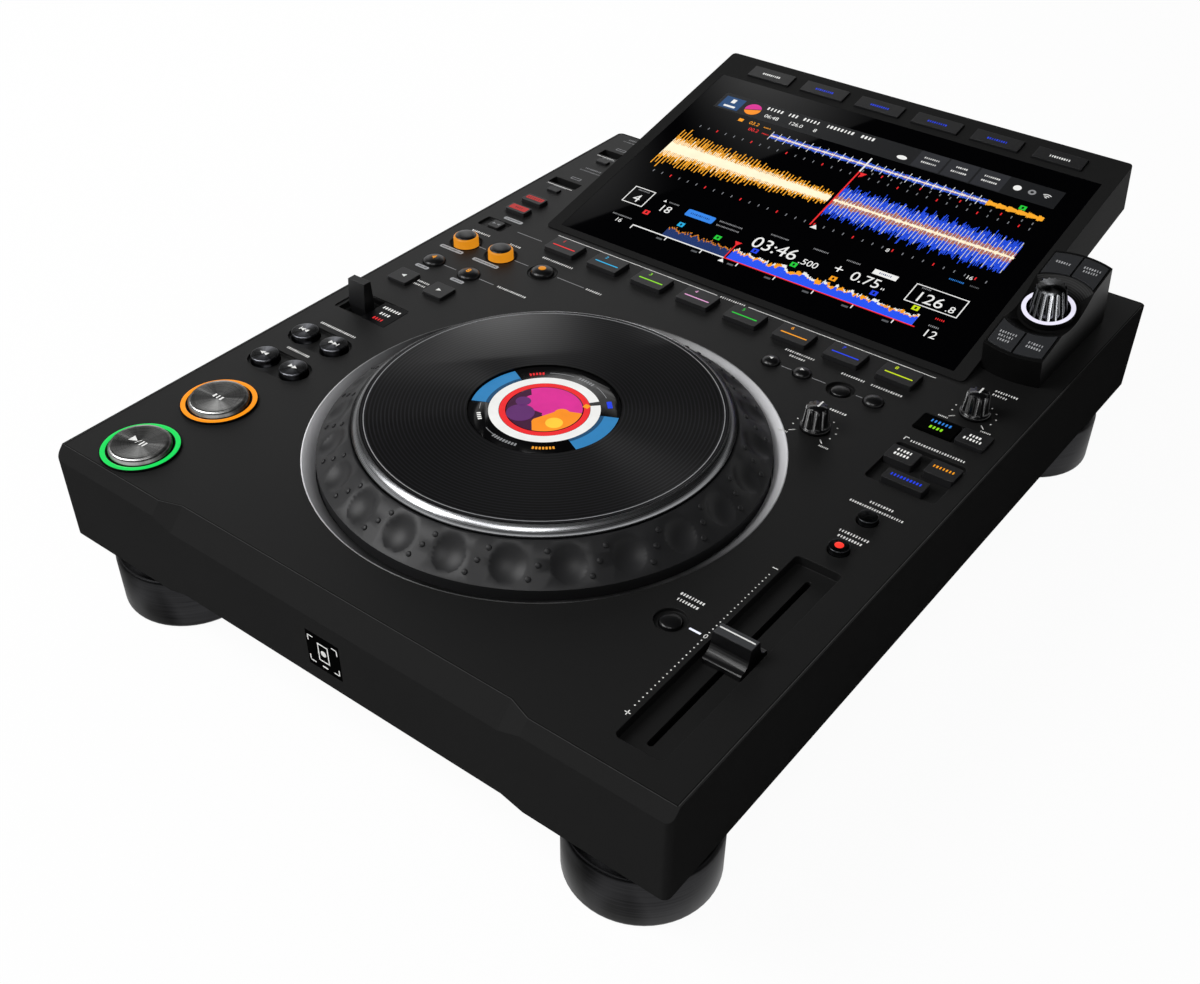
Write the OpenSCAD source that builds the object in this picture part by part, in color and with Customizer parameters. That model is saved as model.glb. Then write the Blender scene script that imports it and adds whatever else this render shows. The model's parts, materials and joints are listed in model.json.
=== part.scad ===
// Tabletop media player: a flat console with a large jog wheel, a tilted touch display and a tempo fader.
// Origin at the middle of the overall footprint, on the surface under the feet. +X right, +Y to the back, +Z up.
// On the deck, places are given as [x, d]: x from the middle, d from the front face to the back.

/* [Case] */
// Width of the case
case_w = 329; // [322:1:336]
// Depth of the case, front face to back face
case_d = 412; // [410.5:0.5:413.5]
// Height of the case, from its bottom edge to the deck
case_h = 46.5; // [44:0.5:60]
// Thickness of the case walls
wall = 3; // [2.6:0.1:4]
// Radius of the upright case corners
corner_r = 3; // [1.5:0.5:4]
// Width of the case rim that stays visible beside the deck plate
rim_w = 1.2; // [0.8:0.1:1.6]
// Depth of the front bevel at its two ends
bevel_end = 4.9; // [3:0.1:6]
// Depth of the front bevel along its middle
bevel_mid = 8.5; // [6.5:0.1:10]
// Drop of the front bevel for each millimetre of depth
bevel_slope = 1.08; // [0.9:0.02:1.3]
// Half width of the deep middle stretch of the bevel
mid_half = 89; // [70:1:95]
// Length of the slanted transition at each end of it
mid_ramp = 10.5; // [6:0.5:14]
// How far the front bottom edge is raised along its middle
notch_h = 3; // [1:0.5:5]

/* [Deck plate] */
// Thickness of the deck plate
plate_t = 5; // [4.5:0.1:6]
// Gap between the deck plate and the case
plate_gap = 0.1; // [0.05:0.05:0.3]
// Gap around each key in the deck
key_gap = 0.35; // [0.2:0.05:0.5]
// Depth of the shallow trays around groups of keys
tray_depth = 1.3; // [0.8:0.1:2]
// Depth of the tray around the sync keys
sync_tray_depth = 2.4; // [1.5:0.1:3]

/* [Feet] */
// Height of the feet under the case
foot_h = 36.3; // [25:0.1:45]
// Radius of the feet
foot_r = 31.7; // [24:0.1:33]
// Distance of the feet from the case sides
foot_x = 1.6; // [0.8:0.1:12.8]
// Front foot centres, from the front face
foot_front_d = 32.8; // [32:0.1:45]
// Back foot centres, from the back face
foot_back_d = 32; // [32:1:72]
// Height of the slim neck above each foot
foot_neck_h = 9; // [4:0.5:14]

/* [Display] */
// Width of the display housing, over that of its cover glass
disp_w = 14.6; // [10:0.2:16]
// Length of the display housing behind its cover glass
disp_len = 22.5; // [19:0.5:27]
// Thickness of the display housing
disp_t = 27; // [24:0.5:27]
// Slope of the display in degrees
disp_tilt = 12.64; // [11:0.01:14]
// Front edge of the display, from the front face
disp_front = 290.6; // [288:0.2:292]
// Height of the display's front edge over the deck
disp_lip = 0.5; // [0.3:0.1:1]
// Wall of the display housing
disp_wall = 2.6; // [2.2:0.1:3]
// Width of the cover glass
glass_w = 234; // [228:1:236]
// Length of the cover glass along the slope
glass_len = 158.4; // [150:0.1:160]
// Front margin of the cover glass
glass_front = 4.6; // [4:0.1:6]
// Thickness of the cover glass
glass_t = 1.3; // [0.8:0.1:1.5]
// Width of each display key
disp_key_w = 27.4; // [20:0.2:30]
// Length of each display key along the slope
disp_key_len = 9.6; // [7:0.2:10]
// Spacing of the display keys
disp_key_pitch = 35.8; // [34:0.1:37]
// Height of the display keys over the housing
disp_key_h = 1.2; // [0.5:0.1:2]

/* [Selector] */
// Gap between the selector pod and the display housing
pod_x = 0.3; // [0.1:0.1:1.2]
// Place of the selector's axis along the display slope
pod_s = 53.8; // [50:0.1:58]
// Width of the selector pod
pod_w = 29; // [27:0.2:29]
// Radius of the pod's round ends
pod_r = 39.5; // [38:0.1:42]
// Height of the pod over the display plane
pod_h = 12; // [10.5:0.1:14]
// Inner radius of the pod keys
pod_key_in = 22.7; // [20:0.1:24]
// Outer radius of the pod keys
pod_key_out = 37.5; // [35:0.1:37.8]
// Height of the selector knob over the display plane
selector_h = 22.6; // [20:0.1:26]
// Radius of the selector knob at its top
selector_top_r = 7.1; // [6:0.1:7.6]
// Radius of the selector knob at its skirt
selector_base_r = 10.2; // [9:0.1:10.4]

/* [Jog wheel] */
// Jog axis, from the front face
jog_d = 136.8; // [135:0.1:138]
// Outer radius of the satin dish, over that of the dimpled ring
dish_r = 6.5; // [4.4:0.1:8.4]
// Outer radius of the dimpled ring, over that of its inner edge
ring_r = 15.1; // [12.5:0.1:15.5]
// Height of the dimpled ring's outer edge over the deck
ring_edge_z = 0.7; // [0:0.1:2]
// Inner radius of the dimpled ring's slope, over that of the polished rim
ring_in_r = 1.3; // [0.7:0.1:2.8]
// Height of the dimpled ring's inner edge over the deck
ring_in_z = 13; // [12.6:0.1:14]
// Outer radius of the polished rim, over that of the top disc
rim_r = 3.8; // [2.6:0.1:4]
// Radius of the top disc
disc_r = 79.4; // [76:0.1:80]
// Height of the top disc over the deck
disc_z = 17.3; // [16.6:0.1:18]
// Thickness of the top disc
disc_t = 2.5; // [2:0.1:3]
// Radius of the display in the middle of the jog wheel
jog_display_r = 33.2; // [30:0.1:34]
// Radius of the fixed post that the jog wheel turns on
post_r = 20; // [15:0.5:24]
// Radial clearance of the jog wheel on its post
post_clear = 0.05; // [0.02:0.01:0.1]
// Number of finger dimples
dimple_count = 24; // [20:1:24]
// Width of a finger dimple
dimple_w = 15.8; // [12:0.1:16.4]
// Depth of a finger dimple
dimple_depth = 2.1; // [1:0.1:2.4]

/* [Tempo fader] */
// Distance of the fader from the case side
fader_x = 26.4; // [25.6:0.1:27.6]
// Middle of the fader, from the front face
fader_d = 77.8; // [76:0.1:79]
// Width of the fader trough
trough_w = 20.9; // [18:0.1:22]
// Length of the fader trough
trough_len = 121.5; // [121:0.5:124]
// Depth of the fader trough
trough_depth = 4.4; // [2:0.1:5]
// Fader travel each way from the middle
fader_travel = 50; // [40:1:51]
// Width of the fader cap
cap_w = 16.9; // [14:0.1:17.5]
// Length of the fader cap
cap_len = 18; // [14:0.5:19]
// Height of the fader cap's ridge over the deck
cap_h = 7; // [6:0.1:12]

/* [Buttons] */
// Radius of the play and cue buttons
transport_r = 13.8; // [13:0.1:14]
// Height of the play and cue buttons over the deck
transport_h = 3.6; // [3:0.1:5]
// Outer radius of the light rings around them
transport_ring_r = 17.5; // [16.8:0.1:18]
// Press travel of the small keys
key_travel = 0.8; // [0.3:0.1:0.9]
// Press travel of the play and cue buttons
transport_travel = 1.5; // [0.8:0.1:2]
// Width of the hot cue keys
hot_w = 18.6; // [16:0.1:20]
// Length of the hot cue keys
hot_len = 13.2; // [11:0.1:13.6]
// Spacing of the hot cue keys
hot_pitch = 28.3; // [27.5:0.1:29]
// Height of the hot cue keys over the deck
hot_h = 2.6; // [2:0.1:4]

/* [Hidden] */
$fn = 64;
eps = 0.01;         // overshoot of a cut past the face that it opens
seat = 0.1;         // air between two pieces that rest on each other

stem_r = 1.5;               // what every key has under the deck: a stem and a flange
flange_t = 1.2;
flange_w = 0.9;

side = case_w / 2;
inner = side - wall;        // inner face of the case sides
deck_z = foot_h + case_h;
plate_half = side - rim_w - plate_gap;
under = -plate_t - seat;    // where a key's flange stops under the deck plate
board_z = -11.2;            // top of the control board, from the deck
board_t = 1.6;

// Radii of the jog wheel, from the top disc outwards
rim_out = disc_r + rim_r;
ring_in = rim_out + ring_in_r;
ring_out = ring_in + ring_r;
dish_out = ring_out + dish_r;
well_lip = 3;               // how far the jog well reaches under the deck plate
well_edge = dish_out + well_lip;

// The display housing around its cover glass
housing_w = glass_w + disp_w;
housing_len = glass_front + glass_len + disp_len;
overall_d = disp_front + housing_len * cos(disp_tilt) + disp_t * sin(disp_tilt);
pod_at = [housing_w / 2 + pod_x + pod_w / 2, pod_s];

// The fader's trough, a tub that hangs below the deck plate
fader_at = [side - fader_x, fader_d];
trough_wall = 1.5;
trough_floor = 1.2;
trough_side = fader_at[0] - trough_w / 2;
trough_low = -trough_depth - trough_floor;

// Radii of the round buttons
search_r = 6.8;
loop_r = 5.75;
in_out_r = 6.7;
reloop_r = 6;
call_r = 4.3;
memory_r = 4.7;
small_r = 4.4;
recess_r = 6.8;
knob_hole_r = 3.4;

// Sizes of the small keys as [width, length]
jump_size = [12.3, 11.8];
loader_size = [7.2, 7.2];
slip_size = [13.4, 7.3];
usb_stop_size = [7.6, 4];
hot_size = [hot_w, hot_len];
jog_mode_size = [13.8, 11.3];
window_size = [18.2, 11.3];
beat_sync_size = [13.6, 10.4];
master_size = [13.8, 10.6];
key_sync_size = [19.4, 7.6];
usb_bay_size = [[19, 7], [13.8, 7.2]];
lever_w = 11;
lever_t = 4.6;              // thickness of the lever at its top
lever_base_t = 6.7;         // and where it passes the deck
lever_foot_t = 3;
lever_h = 13.6;
lever_pivot_z = -9.2;
lever_pin_r = 1.5;
lever_swing = 14;
ear_t = 2.4;
ear_gap = 0.3;
light_ledge = 3;            // depth at which the light rings sit in the deck
transport_ring_in = transport_r + 0.6;

// A place in a column of controls: what is free between the column's edges is shared
// out, so that the controls keep clear of both.
function in_column(from, to, half, share) = to - half - share * (to - from - 2 * half);
pair_pitch = 19.4;
pair_x = in_column(well_edge, inner, pair_pitch / 2 + search_r + flange_w, 0.4261);
slip_x = in_column(housing_w / 2, inner, slip_size[0] / 2 + flange_w, 0.3227);

// Places on the deck as [x, d], those beside the jog wheel taken from the case sides
play_at = [30 - side, 23.6];
cue_at = [30 - side, 68];
search_at = [-pair_x, 106.6];
track_at = [-pair_x, 132.7];
lever_at = [19.3 - side, 170];
lever_tray_x = 26.2 - side;
jump_at = [[18 - side, 202], [42.4 - side, 201.9]];
loop_at = [[18.5 - side, 224.4], [42.3 - side, 224.6]];
in_out_at = [[18.5 - side, 249.6], [42.4 - side, 250]];
reloop_at = [70.6 - side, 250];
loader_at = [17.5 - side, 275.4];
slip_at = [[-slip_x, 294.2], [-slip_x, 308.1]];
usb_stop_at = [[17 - side, 326.3], [17 - side, 372.2]];
usb_bay_at = [[16.1 - side, 337.8], [14.1 - side, 383.8]];
hot_d = 275.8;
call_at = [[side - 120, 251], [side - 103, 251.2]];
delete_at = [side - 82.1, 250.8];
memory_at = [side - 65.2, 251.2];
speed_adjust_at = [side - 24.9, 271];
jog_mode_at = [side - 15.9, 251.9];
jog_mode_tray_x = side - 25.8;
mode_window_at = [side - 33.2, 251.9];
beat_sync_at = [side - 34.9, 222.2];
master_at = [side - 15.9, 222.7];
key_sync_at = [side - 25.5, 206.9];
sync_tray_at = [side - 25.3, 216.2];
tempo_range_at = [side - 25.4, 174.4];
master_tempo_at = [side - 25.3, 151];
// the adjusting knob stands off the rim of the jog wheel's dish
jog_adjust_gap = 13.811;
jog_adjust_turn = 42.364;
jog_adjust_at = [
    (dish_out + jog_adjust_gap) * cos(jog_adjust_turn), jog_d + (dish_out + jog_adjust_gap) * sin(jog_adjust_turn)];
// the reset button stands between the jog well and the fader
reset_d = 76.6;
reset_room = sqrt(pow(well_edge, 2) - pow(jog_d - reset_d, 2));
reset_at = [reset_room + 0.5186 * (trough_side - reset_room), reset_d];

function hot_at(i) = [(i - 3.5) * hot_pitch, hot_d];
function pair_at(at, side) = [at[0] + side * pair_pitch / 2, at[1]];
function arc(x, y, r, from, to, n) =
    [for (i = [0:n]) let (a = from + (to - from) * i / n) [x + r * cos(a), y + r * sin(a)]];
function rounded(w, l, r, n = 4) = concat(
    arc(w / 2 - r, l / 2 - r, r, 0, 90, n), arc(r - w / 2, l / 2 - r, r, 90, 180, n),
    arc(r - w / 2, r - l / 2, r, 180, 270, n), arc(w / 2 - r, r - l / 2, r, 270, 360, n));

module on_deck() { translate([0, -overall_d / 2, deck_z]) children(); }
module on_display() { on_deck() translate([0, disp_front, disp_lip]) rotate([disp_tilt, 0, 0]) children(); }
module at(p, z = 0) { translate([p[0], p[1], z]) children(); }
module slab(size, low, high, r = 0.8) {
    translate([0, 0, low]) linear_extrude(high - low) polygon(rounded(size[0], size[1], r));
}
module disc(r, low, high) { translate([0, 0, low]) cylinder(r = r, h = high - low); }
module tube(r_out, r_in, low, high) {
    difference() {
        disc(r_out, low, high);
        disc(r_in, low - 1, high + 1);
    }
}

// ---- Case -------------------------------------------------------------

module case_outline(inset, low, high, r) {
    translate([0, case_d / 2, low]) linear_extrude(high - low)
        polygon(rounded(case_w - 2 * inset, case_d - 2 * inset, r, 6));
}

// What the front bevel takes away: one slope all along, deeper in the middle.
module bevel_cut() {
    angle = atan(bevel_slope);
    reach = 60;
    rotate([angle - 90, 0, 0]) translate([0, 0, -reach / 2]) linear_extrude(reach)
        polygon(concat(
            [[-case_w, -20]],
            [for (p = [
                [-case_w, bevel_end], [-mid_half - mid_ramp, bevel_end], [-mid_half, bevel_mid],
                [mid_half, bevel_mid], [mid_half + mid_ramp, bevel_end], [case_w, bevel_end]]) [p[0], p[1] * sin(angle)]],
            [[case_w, -20]]));
}

module notch_cut() {
    translate([0, wall + 1, -case_h]) rotate([90, 0, 0]) linear_extrude(wall + 2)
        polygon([
            [-mid_half - mid_ramp, -1], [-mid_half - mid_ramp, 0], [-mid_half, notch_h],
            [mid_half, notch_h], [mid_half + mid_ramp, 0], [mid_half + mid_ramp, -1]]);
}

// Deck plate outline, grown by a gap; its front edge follows the bevel.
module plate_outline(grow) {
    back = case_d - rim_w - plate_gap + grow;
    x_out = plate_half + grow;
    end_d = bevel_end + bevel_land + plate_gap - grow;
    mid_d = bevel_mid + bevel_land + plate_gap - grow;
    polygon([
        [-x_out, end_d], [-mid_half - mid_ramp, end_d], [-mid_half, mid_d],
        [mid_half, mid_d], [mid_half + mid_ramp, end_d], [x_out, end_d], [x_out, back], [-x_out, back]]);
}

bevel_land = 0.25;          // strip of case left between the bevel and the deck plate
post_size = 10;             // corner posts that carry the deck plate and the base plate
base_t = 1.5;
base_lift = 0.3;            // how far the base plate sits up inside the case
front_bar_d = bevel_mid + 5;
front_bar_h = bevel_mid * bevel_slope + 4.5;
rear_z = -24;               // height of the rear sockets
rca_x = [66, 82, 100];
lan_x = 30;
lan_size = [16, 13.5];
inlet_x = 46.5 - side;
inlet_size = [30, 22];
power_x = 80.5 - side;
power_size = [10, 10];
lock_x = side - 36.5;

module rear_cutouts() {
    translate([0, case_d - wall - 1, 0]) rotate([-90, 0, 0]) {
        for (x = rca_x) translate([x, -rear_z, 0]) cylinder(r = 5 + seat, h = wall + 2);
        translate([lan_x, -rear_z, 0]) linear_extrude(wall + 2) square(lan_size + [0.4, 0.4], center = true);
        translate([inlet_x, -rear_z, 0]) linear_extrude(wall + 2) square(inlet_size + [0.4, 0.4], center = true);
        translate([power_x, -rear_z, 0]) linear_extrude(wall + 2) square(power_size + [0.8, 0.8], center = true);
        translate([lock_x, -rear_z, 0]) linear_extrude(wall + 2) square([7, 3], center = true);
    }
}

module main_case() {
    post_low = -case_h + base_lift + base_t + seat;
    color("#26272a") on_deck() difference() {
        case_outline(0, -case_h, 0, corner_r);
        difference() {
            case_outline(wall, -case_h - 1, 1, 1);
            translate([-case_w / 2, 0, -bevel_end * bevel_slope - 4])
                cube([case_w, bevel_end + 2.1, case_h]);
            translate([-mid_half - mid_ramp - 4, 0, -front_bar_h])
                cube([2 * (mid_half + mid_ramp + 4), front_bar_d, case_h]);
            for (sx = [-1, 1], sy = [-1, 1])
                translate([sx * (case_w / 2 - wall), case_d / 2 + sy * (case_d / 2 - wall), post_low + case_h / 2])
                    cube([2 * post_size, 2 * post_size, case_h], center = true);
        }
        translate([0, 0, -plate_t]) linear_extrude(plate_t + 2) plate_outline(plate_gap);
        bevel_cut();
        notch_cut();
        rear_cutouts();
    }
}

module base_plate() {
    base_front = wall + 1.2;
    base_back = case_d - wall - 0.2;
    low = -case_h + base_lift;
    color("#1b1b1d") on_deck() difference() {
        union() {
            translate([0, (base_front + base_back) / 2, low]) linear_extrude(base_t)
                polygon(rounded(case_w - 2 * wall - 0.4, base_back - base_front, 1, 6));
            for (p = standoffs) at(p, low) cylinder(r = 3, h = board_lift + base_t);
        }
        for (p = foot_at) at(p, low - 1) cylinder(r = foot_bolt_r, h = base_t + 2);
        for (i = [0:vent_count - 1]) translate([vent_x + (i - (vent_count - 1) / 2) * vent_pitch, vent_d, low - 1])
            linear_extrude(base_t + 2) square(vent_size, center = true);
    }
}
foot_at = [for (sx = [-1, 1], d = [foot_front_d, case_d - foot_back_d]) [sx * (side - foot_x - foot_r), d]];
foot_bolt_r = 2.2;
vent_count = 12;
vent_pitch = 10;
vent_size = [4, 60];
vent_x = 0;
vent_d = 200;
board_lift = 8;
main_board_size = [170, 96];
psu_size = [96, 104];
board_room = 2 * inner - main_board_size[0] - psu_size[0];
main_board_at = [inner - 0.2544 * board_room - main_board_size[0] / 2, case_d - 67];
psu_at = [0.272 * board_room + psu_size[0] / 2 - inner, case_d - 82];
standoffs = [
    for (sx = [-1, 1], sy = [-1, 1]) main_board_at + [sx * (main_board_size[0] / 2 - 5), sy * (main_board_size[1] / 2 - 5)],
    for (sx = [-1, 1], sy = [-1, 1]) psu_at + [sx * (psu_size[0] / 2 - 5), sy * (psu_size[1] / 2 - 5)]];

module foot() {
    lip = 1.8;
    rotate_extrude() polygon(concat(
        [[0, 0]],
        arc(foot_r - 2.6, 2.6, 2.6, -90, 0, 5),
        [[foot_r, foot_h - foot_neck_h - lip], [foot_r - lip, foot_h - foot_neck_h],
         [foot_r - 7, foot_h - foot_neck_h], [foot_r - 7, foot_h], [0, foot_h]]));
}
module feet() {
    color("#303134") on_deck() for (p = foot_at) at(p, -deck_z) foot();
}

// ---- Deck plate -------------------------------------------------------

module key_hole(p, size) { at(p) slab(size + 2 * [key_gap, key_gap], -plate_t - 1, 1, 0.8 + key_gap); }
module round_hole(p, r) { at(p) disc(r + key_gap, -plate_t - 1, 1); }
module pill(p, r, depth) {
    at(p) slab([pair_pitch + 2 * r, 2 * r], -depth, 1, r - eps);
}

module deck_trays() {
    for (p = [search_at, track_at]) pill(p, search_r + 1.8, tray_depth);
    at([lever_tray_x, lever_at[1]]) slab([34, 18.6], -0.6, 1, 1);
    at(lever_at) slab([16, 17.2], -plate_t + 1.5, 1, 0.6);
    for (p = in_out_at) at(p) disc(in_out_r + 2.4, -0.6, 1);
    at(reloop_at) disc(reloop_r + 1.5, -0.5, 1);
    at(loader_at + [-0.9, -0.2]) slab([17, 10.4], -tray_depth, 1, 1.5);
    at([jog_mode_tray_x, jog_mode_at[1]]) slab([34, 14.6], -tray_depth, 1, 1.5);
    at(sync_tray_at) slab([33.4, 31.4], -sync_tray_depth, 1, 2.2);
    for (p = [delete_at, reset_at]) at(p) disc(recess_r, -1.6, 1);
    at(fader_at) slab([trough_w, trough_len], -trough_depth, 1, trough_r);
}

module deck_holes() {
    at([0, jog_d]) disc(dish_out + plate_gap, -plate_t - 1, 1);
    for (p = [play_at, cue_at]) {
        at(p) disc(transport_ring_r + plate_gap, -light_ledge, 1);
        at(p) disc(transport_r + key_gap, -plate_t - 1, 1);
    }
    for (s = [-1, 1]) {
        round_hole(pair_at(search_at, s), search_r);
        round_hole(pair_at(track_at, s), search_r);
    }
    for (i = [0, 1]) {
        key_hole(jump_at[i], jump_size);
        round_hole(loop_at[i], loop_r);
        round_hole(in_out_at[i], in_out_r);
        key_hole(slip_at[i], slip_size);
        key_hole(usb_stop_at[i], usb_stop_size);
        round_hole(call_at[i], call_r);
        at(usb_bay_at[i]) slab(usb_bay_size[i], -plate_t - 1, 1, 0.6);
    }
    for (i = [0:7]) key_hole(hot_at(i), hot_size);
    round_hole(reloop_at, reloop_r);
    key_hole(loader_at, loader_size);
    round_hole(delete_at, small_r);
    round_hole(memory_at, memory_r);
    for (p = [jog_adjust_at, speed_adjust_at]) at(p) disc(knob_hole_r, -plate_t - 1, 1);
    key_hole(jog_mode_at, jog_mode_size);
    key_hole(beat_sync_at, beat_sync_size);
    key_hole(master_at, master_size);
    key_hole(key_sync_at, key_sync_size);
    round_hole(tempo_range_at, small_r);
    round_hole(master_tempo_at, small_r);
    round_hole(reset_at, small_r);
    at(lever_at) slab([lever_w + 1, lever_t + 5], -plate_t - 1, 1, 0.3);
    at(fader_at) slab([slot_w, 2 * fader_travel + stem_len + 2], trough_low - 1, 1, slot_w / 2 - eps);
}

module lever_ears() {
    for (sx = [-1, 1]) translate([lever_at[0] + sx * (lever_w / 2 + ear_gap + ear_t / 2), lever_at[1], lever_pivot_z])
        difference() {
            union() {
                rotate([0, 90, 0]) cylinder(r = 3.4, h = ear_t, center = true);
                translate([-ear_t / 2, -3.4, 0]) cube([ear_t, 6.8, -lever_pivot_z - plate_t + eps]);
            }
            rotate([0, 90, 0]) cylinder(r = lever_pin_r + 0.05, h = ear_t + 2, center = true);
        }
}

boss_at = [
    [33.5 - side, 150], [33.5 - side, 186], [30.5 - side, 237], [6.5 - side, 262], [48.5 - side, 290],
    [-56, 262], [28, 262], [side - 46.5, 236], [side - 46.5, 188], [side - 14.5, 283], [side - 8.5, 190]];
trough_r = 2.4;

module top_plate() {
    color("#2b2c2f") on_deck() {
        difference() {
            union() {
                translate([0, 0, -plate_t]) linear_extrude(plate_t) plate_outline(0);
                at(fader_at) slab([trough_w, trough_len] + 2 * [trough_wall, trough_wall], trough_low, eps - plate_t,
                    trough_r + trough_wall);
            }
            deck_trays();
            deck_holes();
        }
        lever_ears();
        for (p = boss_at) at(p) disc(2.4, board_z, -plate_t + eps);
    }
}

// ---- Display ----------------------------------------------------------

key_strip = 5;              // strip of housing between the cover glass and the display keys
key_bar_t = 1.4;
lcd_front = 38;
lcd_side = 7;               // how far the screen stays inside the cover glass
lcd_t = 5;
module below_deck() {
    on_deck() translate([-case_w, disp_front - disp_t, -3 * disp_t]) cube([2 * case_w, 2 * housing_len, 3 * disp_t]);
}
function key_s() = glass_front + glass_len + key_strip;     // front edge of the display keys, along the slope
function disp_key_x(i) = (i - 2.5) * disp_key_pitch;

module display_housing() {
    color("#2a2b2d") difference() {
        on_display() difference() {
            translate([0, housing_len / 2, -disp_t]) linear_extrude(disp_t)
                polygon(rounded(housing_w, housing_len, 2.5, 5));
            translate([-housing_w / 2 + disp_wall, disp_wall, -disp_t + disp_wall])
                cube([housing_w - 2 * disp_wall, housing_len - 2 * disp_wall, disp_t - 2 * disp_wall]);
            // the stretch that rests on the deck plate is open underneath
            translate([-housing_w / 2 + disp_wall, disp_wall, -disp_t - 1])
                cube([housing_w - 2 * disp_wall, (disp_t * cos(disp_tilt) - disp_lip) / sin(disp_tilt) - 8, disp_t]);
            translate([0, glass_front + glass_len / 2, -glass_t - seat]) linear_extrude(glass_t + seat + 1)
                square([glass_w + 0.3, glass_len + 0.3], center = true);
            translate([0, glass_front + glass_len / 2, -disp_wall - 1]) linear_extrude(disp_wall + 2)
                square([glass_w - 8, glass_len - 8], center = true);
            for (i = [0:5]) translate([disp_key_x(i), key_s() + disp_key_len / 2, -disp_wall - 1])
                linear_extrude(disp_wall + 2) square([disp_key_w + 0.7, disp_key_len + 0.7], center = true);
        }
        below_deck();
    }
}

module display_panel() {
    color("#0a0b0d") on_display() {
        translate([0, glass_front + glass_len / 2, -glass_t]) linear_extrude(glass_t) square([glass_w, glass_len], center = true);
        translate([lcd_side - glass_w / 2, lcd_front, -glass_t - lcd_t])
            cube([glass_w - 2 * lcd_side, glass_front + glass_len - 10 - lcd_front, lcd_t + eps]);
    }
}

module display_keys() {
    color("#33353a") on_display() {
        for (i = [0:5]) translate([disp_key_x(i), key_s() + disp_key_len / 2, -disp_wall - seat - eps])
            linear_extrude(disp_wall + seat + eps + disp_key_h) square([disp_key_w, disp_key_len], center = true);
        translate([-disp_key_pitch * 3, key_s() - 0.8, -disp_wall - seat - key_bar_t])
            cube([disp_key_pitch * 6, disp_key_len + 1.6, key_bar_t]);
    }
}

// ---- Selector ---------------------------------------------------------

module on_selector() { on_display() at(pod_at) children(); }
pod_dish_r = pod_key_in - 0.4;
ring_floor = 6.8;           // floor of the dish around the selector knob, over the display plane
selector_ring_r = 12.4;
selector_ring_in = selector_base_r + 0.5;
selector_shaft_r = 3;
selector_bore_r = selector_shaft_r + 0.05;
selector_travel = 0.8;

module pod_strip(w, low, high) {
    translate([-w / 2, -60, low]) cube([w, 120, high - low]);
}
// The four keys of the pod: quarters of a ring, cut off by the pod's straight sides.
module pod_quarters(grow, low, high) {
    intersection() {
        tube(pod_key_out + grow, pod_key_in - grow, low, high);
        difference() {
            pod_strip(pod_w - 2.4 + 2 * grow, low, high);
            pod_strip(1 - 2 * grow, low - 1, high + 1);
            translate([-40, -pod_key_in / 2, low - 1]) cube([80, pod_key_in, high - low + 2]);
        }
    }
}

module selector_pod() {
    color("#232427") difference() {
        on_selector() difference() {
            intersection() {
                disc(pod_r, -disp_t, pod_h);
                pod_strip(pod_w, -disp_t - 1, pod_h + 1);
            }
            translate([0, 0, ring_floor]) cylinder(r1 = selector_ring_r + 1.6, r2 = pod_dish_r, h = pod_h - ring_floor + eps);
            disc(selector_ring_r + seat, ring_floor - 2, pod_h);
            disc(selector_shaft_r + 0.2, -6, pod_h);
            disc(selector_base_r + 0.4, ring_floor - 3.4, pod_h);
            pod_quarters(0.3, pod_h - 4, pod_h + 1);
        }
        below_deck();
    }
}

module selector_keys() {
    color("#54565b") on_selector() pod_quarters(0, pod_h - 4 + key_travel + 0.3, pod_h + 0.4);
}

module selector_shaft() {
    color("#8a8c90") on_selector() union() {
        disc(selector_shaft_r, -4.8, selector_h - 2.5);
    }
}

module fluted(base_r, top_r, low, high, flutes, flute_r) {
    lean = atan((base_r - top_r) / (high - low));
    difference() {
        rotate_extrude() polygon([
            [0, low], [base_r, low], [base_r, low + 1.4], [base_r - 0.9, low + 1.8], [top_r, high - 0.4], [top_r - 0.4, high], [0, high]]);
        for (i = [0:flutes - 1]) rotate([0, 0, i * 360 / flutes])
            translate([base_r - 0.9 + flute_r * 0.55, 0, low + 2.2]) rotate([0, -lean, 0]) cylinder(r = flute_r, h = 2 * (high - low));
    }
}

module selector_knob() {
    low = ring_floor - 3.4 + selector_travel + 0.3;
    color("#6d6f74") on_selector() difference() {
        fluted(selector_base_r, selector_top_r, low, selector_h, 16, 1.3);
        disc(selector_bore_r, low - 1, selector_h - 2.4);
    }
}

// ---- Jog wheel --------------------------------------------------------

well_floor = -14;
well_gap = 0.7;             // gap between the turning ring and the dish
hub_bottom = -12;
web_top = disc_z - disc_t - 0.05;
web_t = 2.4;
rim_seat = 12.3;            // height of the ledge that the polished rim sits on
washer_r = post_r + 6;

module on_jog() { on_deck() translate([0, jog_d, 0]) children(); }

module jog_well() {
    in_r = ring_out + well_gap;
    color("#a7a9ac") on_jog() rotate_extrude($fn = 180) polygon([
        [post_r - 6, well_floor], [in_r, well_floor], [in_r, -3.9], [dish_out - 0.5, 0.15], [dish_out, 0.15],
        [dish_out, under], [well_edge, under], [well_edge, under - 1.5], [in_r + 2.6, under - 1.5],
        [in_r + 2.6, well_floor - 2.5], [post_r - 6, well_floor - 2.5]]);
}

module jog_display() {
    top = disc_z - 0.9;
    color("#101215") on_jog() rotate_extrude($fn = 120) polygon([
        [0, well_floor], [washer_r, well_floor], [washer_r, hub_bottom - seat], [post_r, hub_bottom - seat],
        [post_r, web_top + 0.35], [jog_display_r, web_top + 0.35], [jog_display_r, top], [0, top]]);
}

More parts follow.
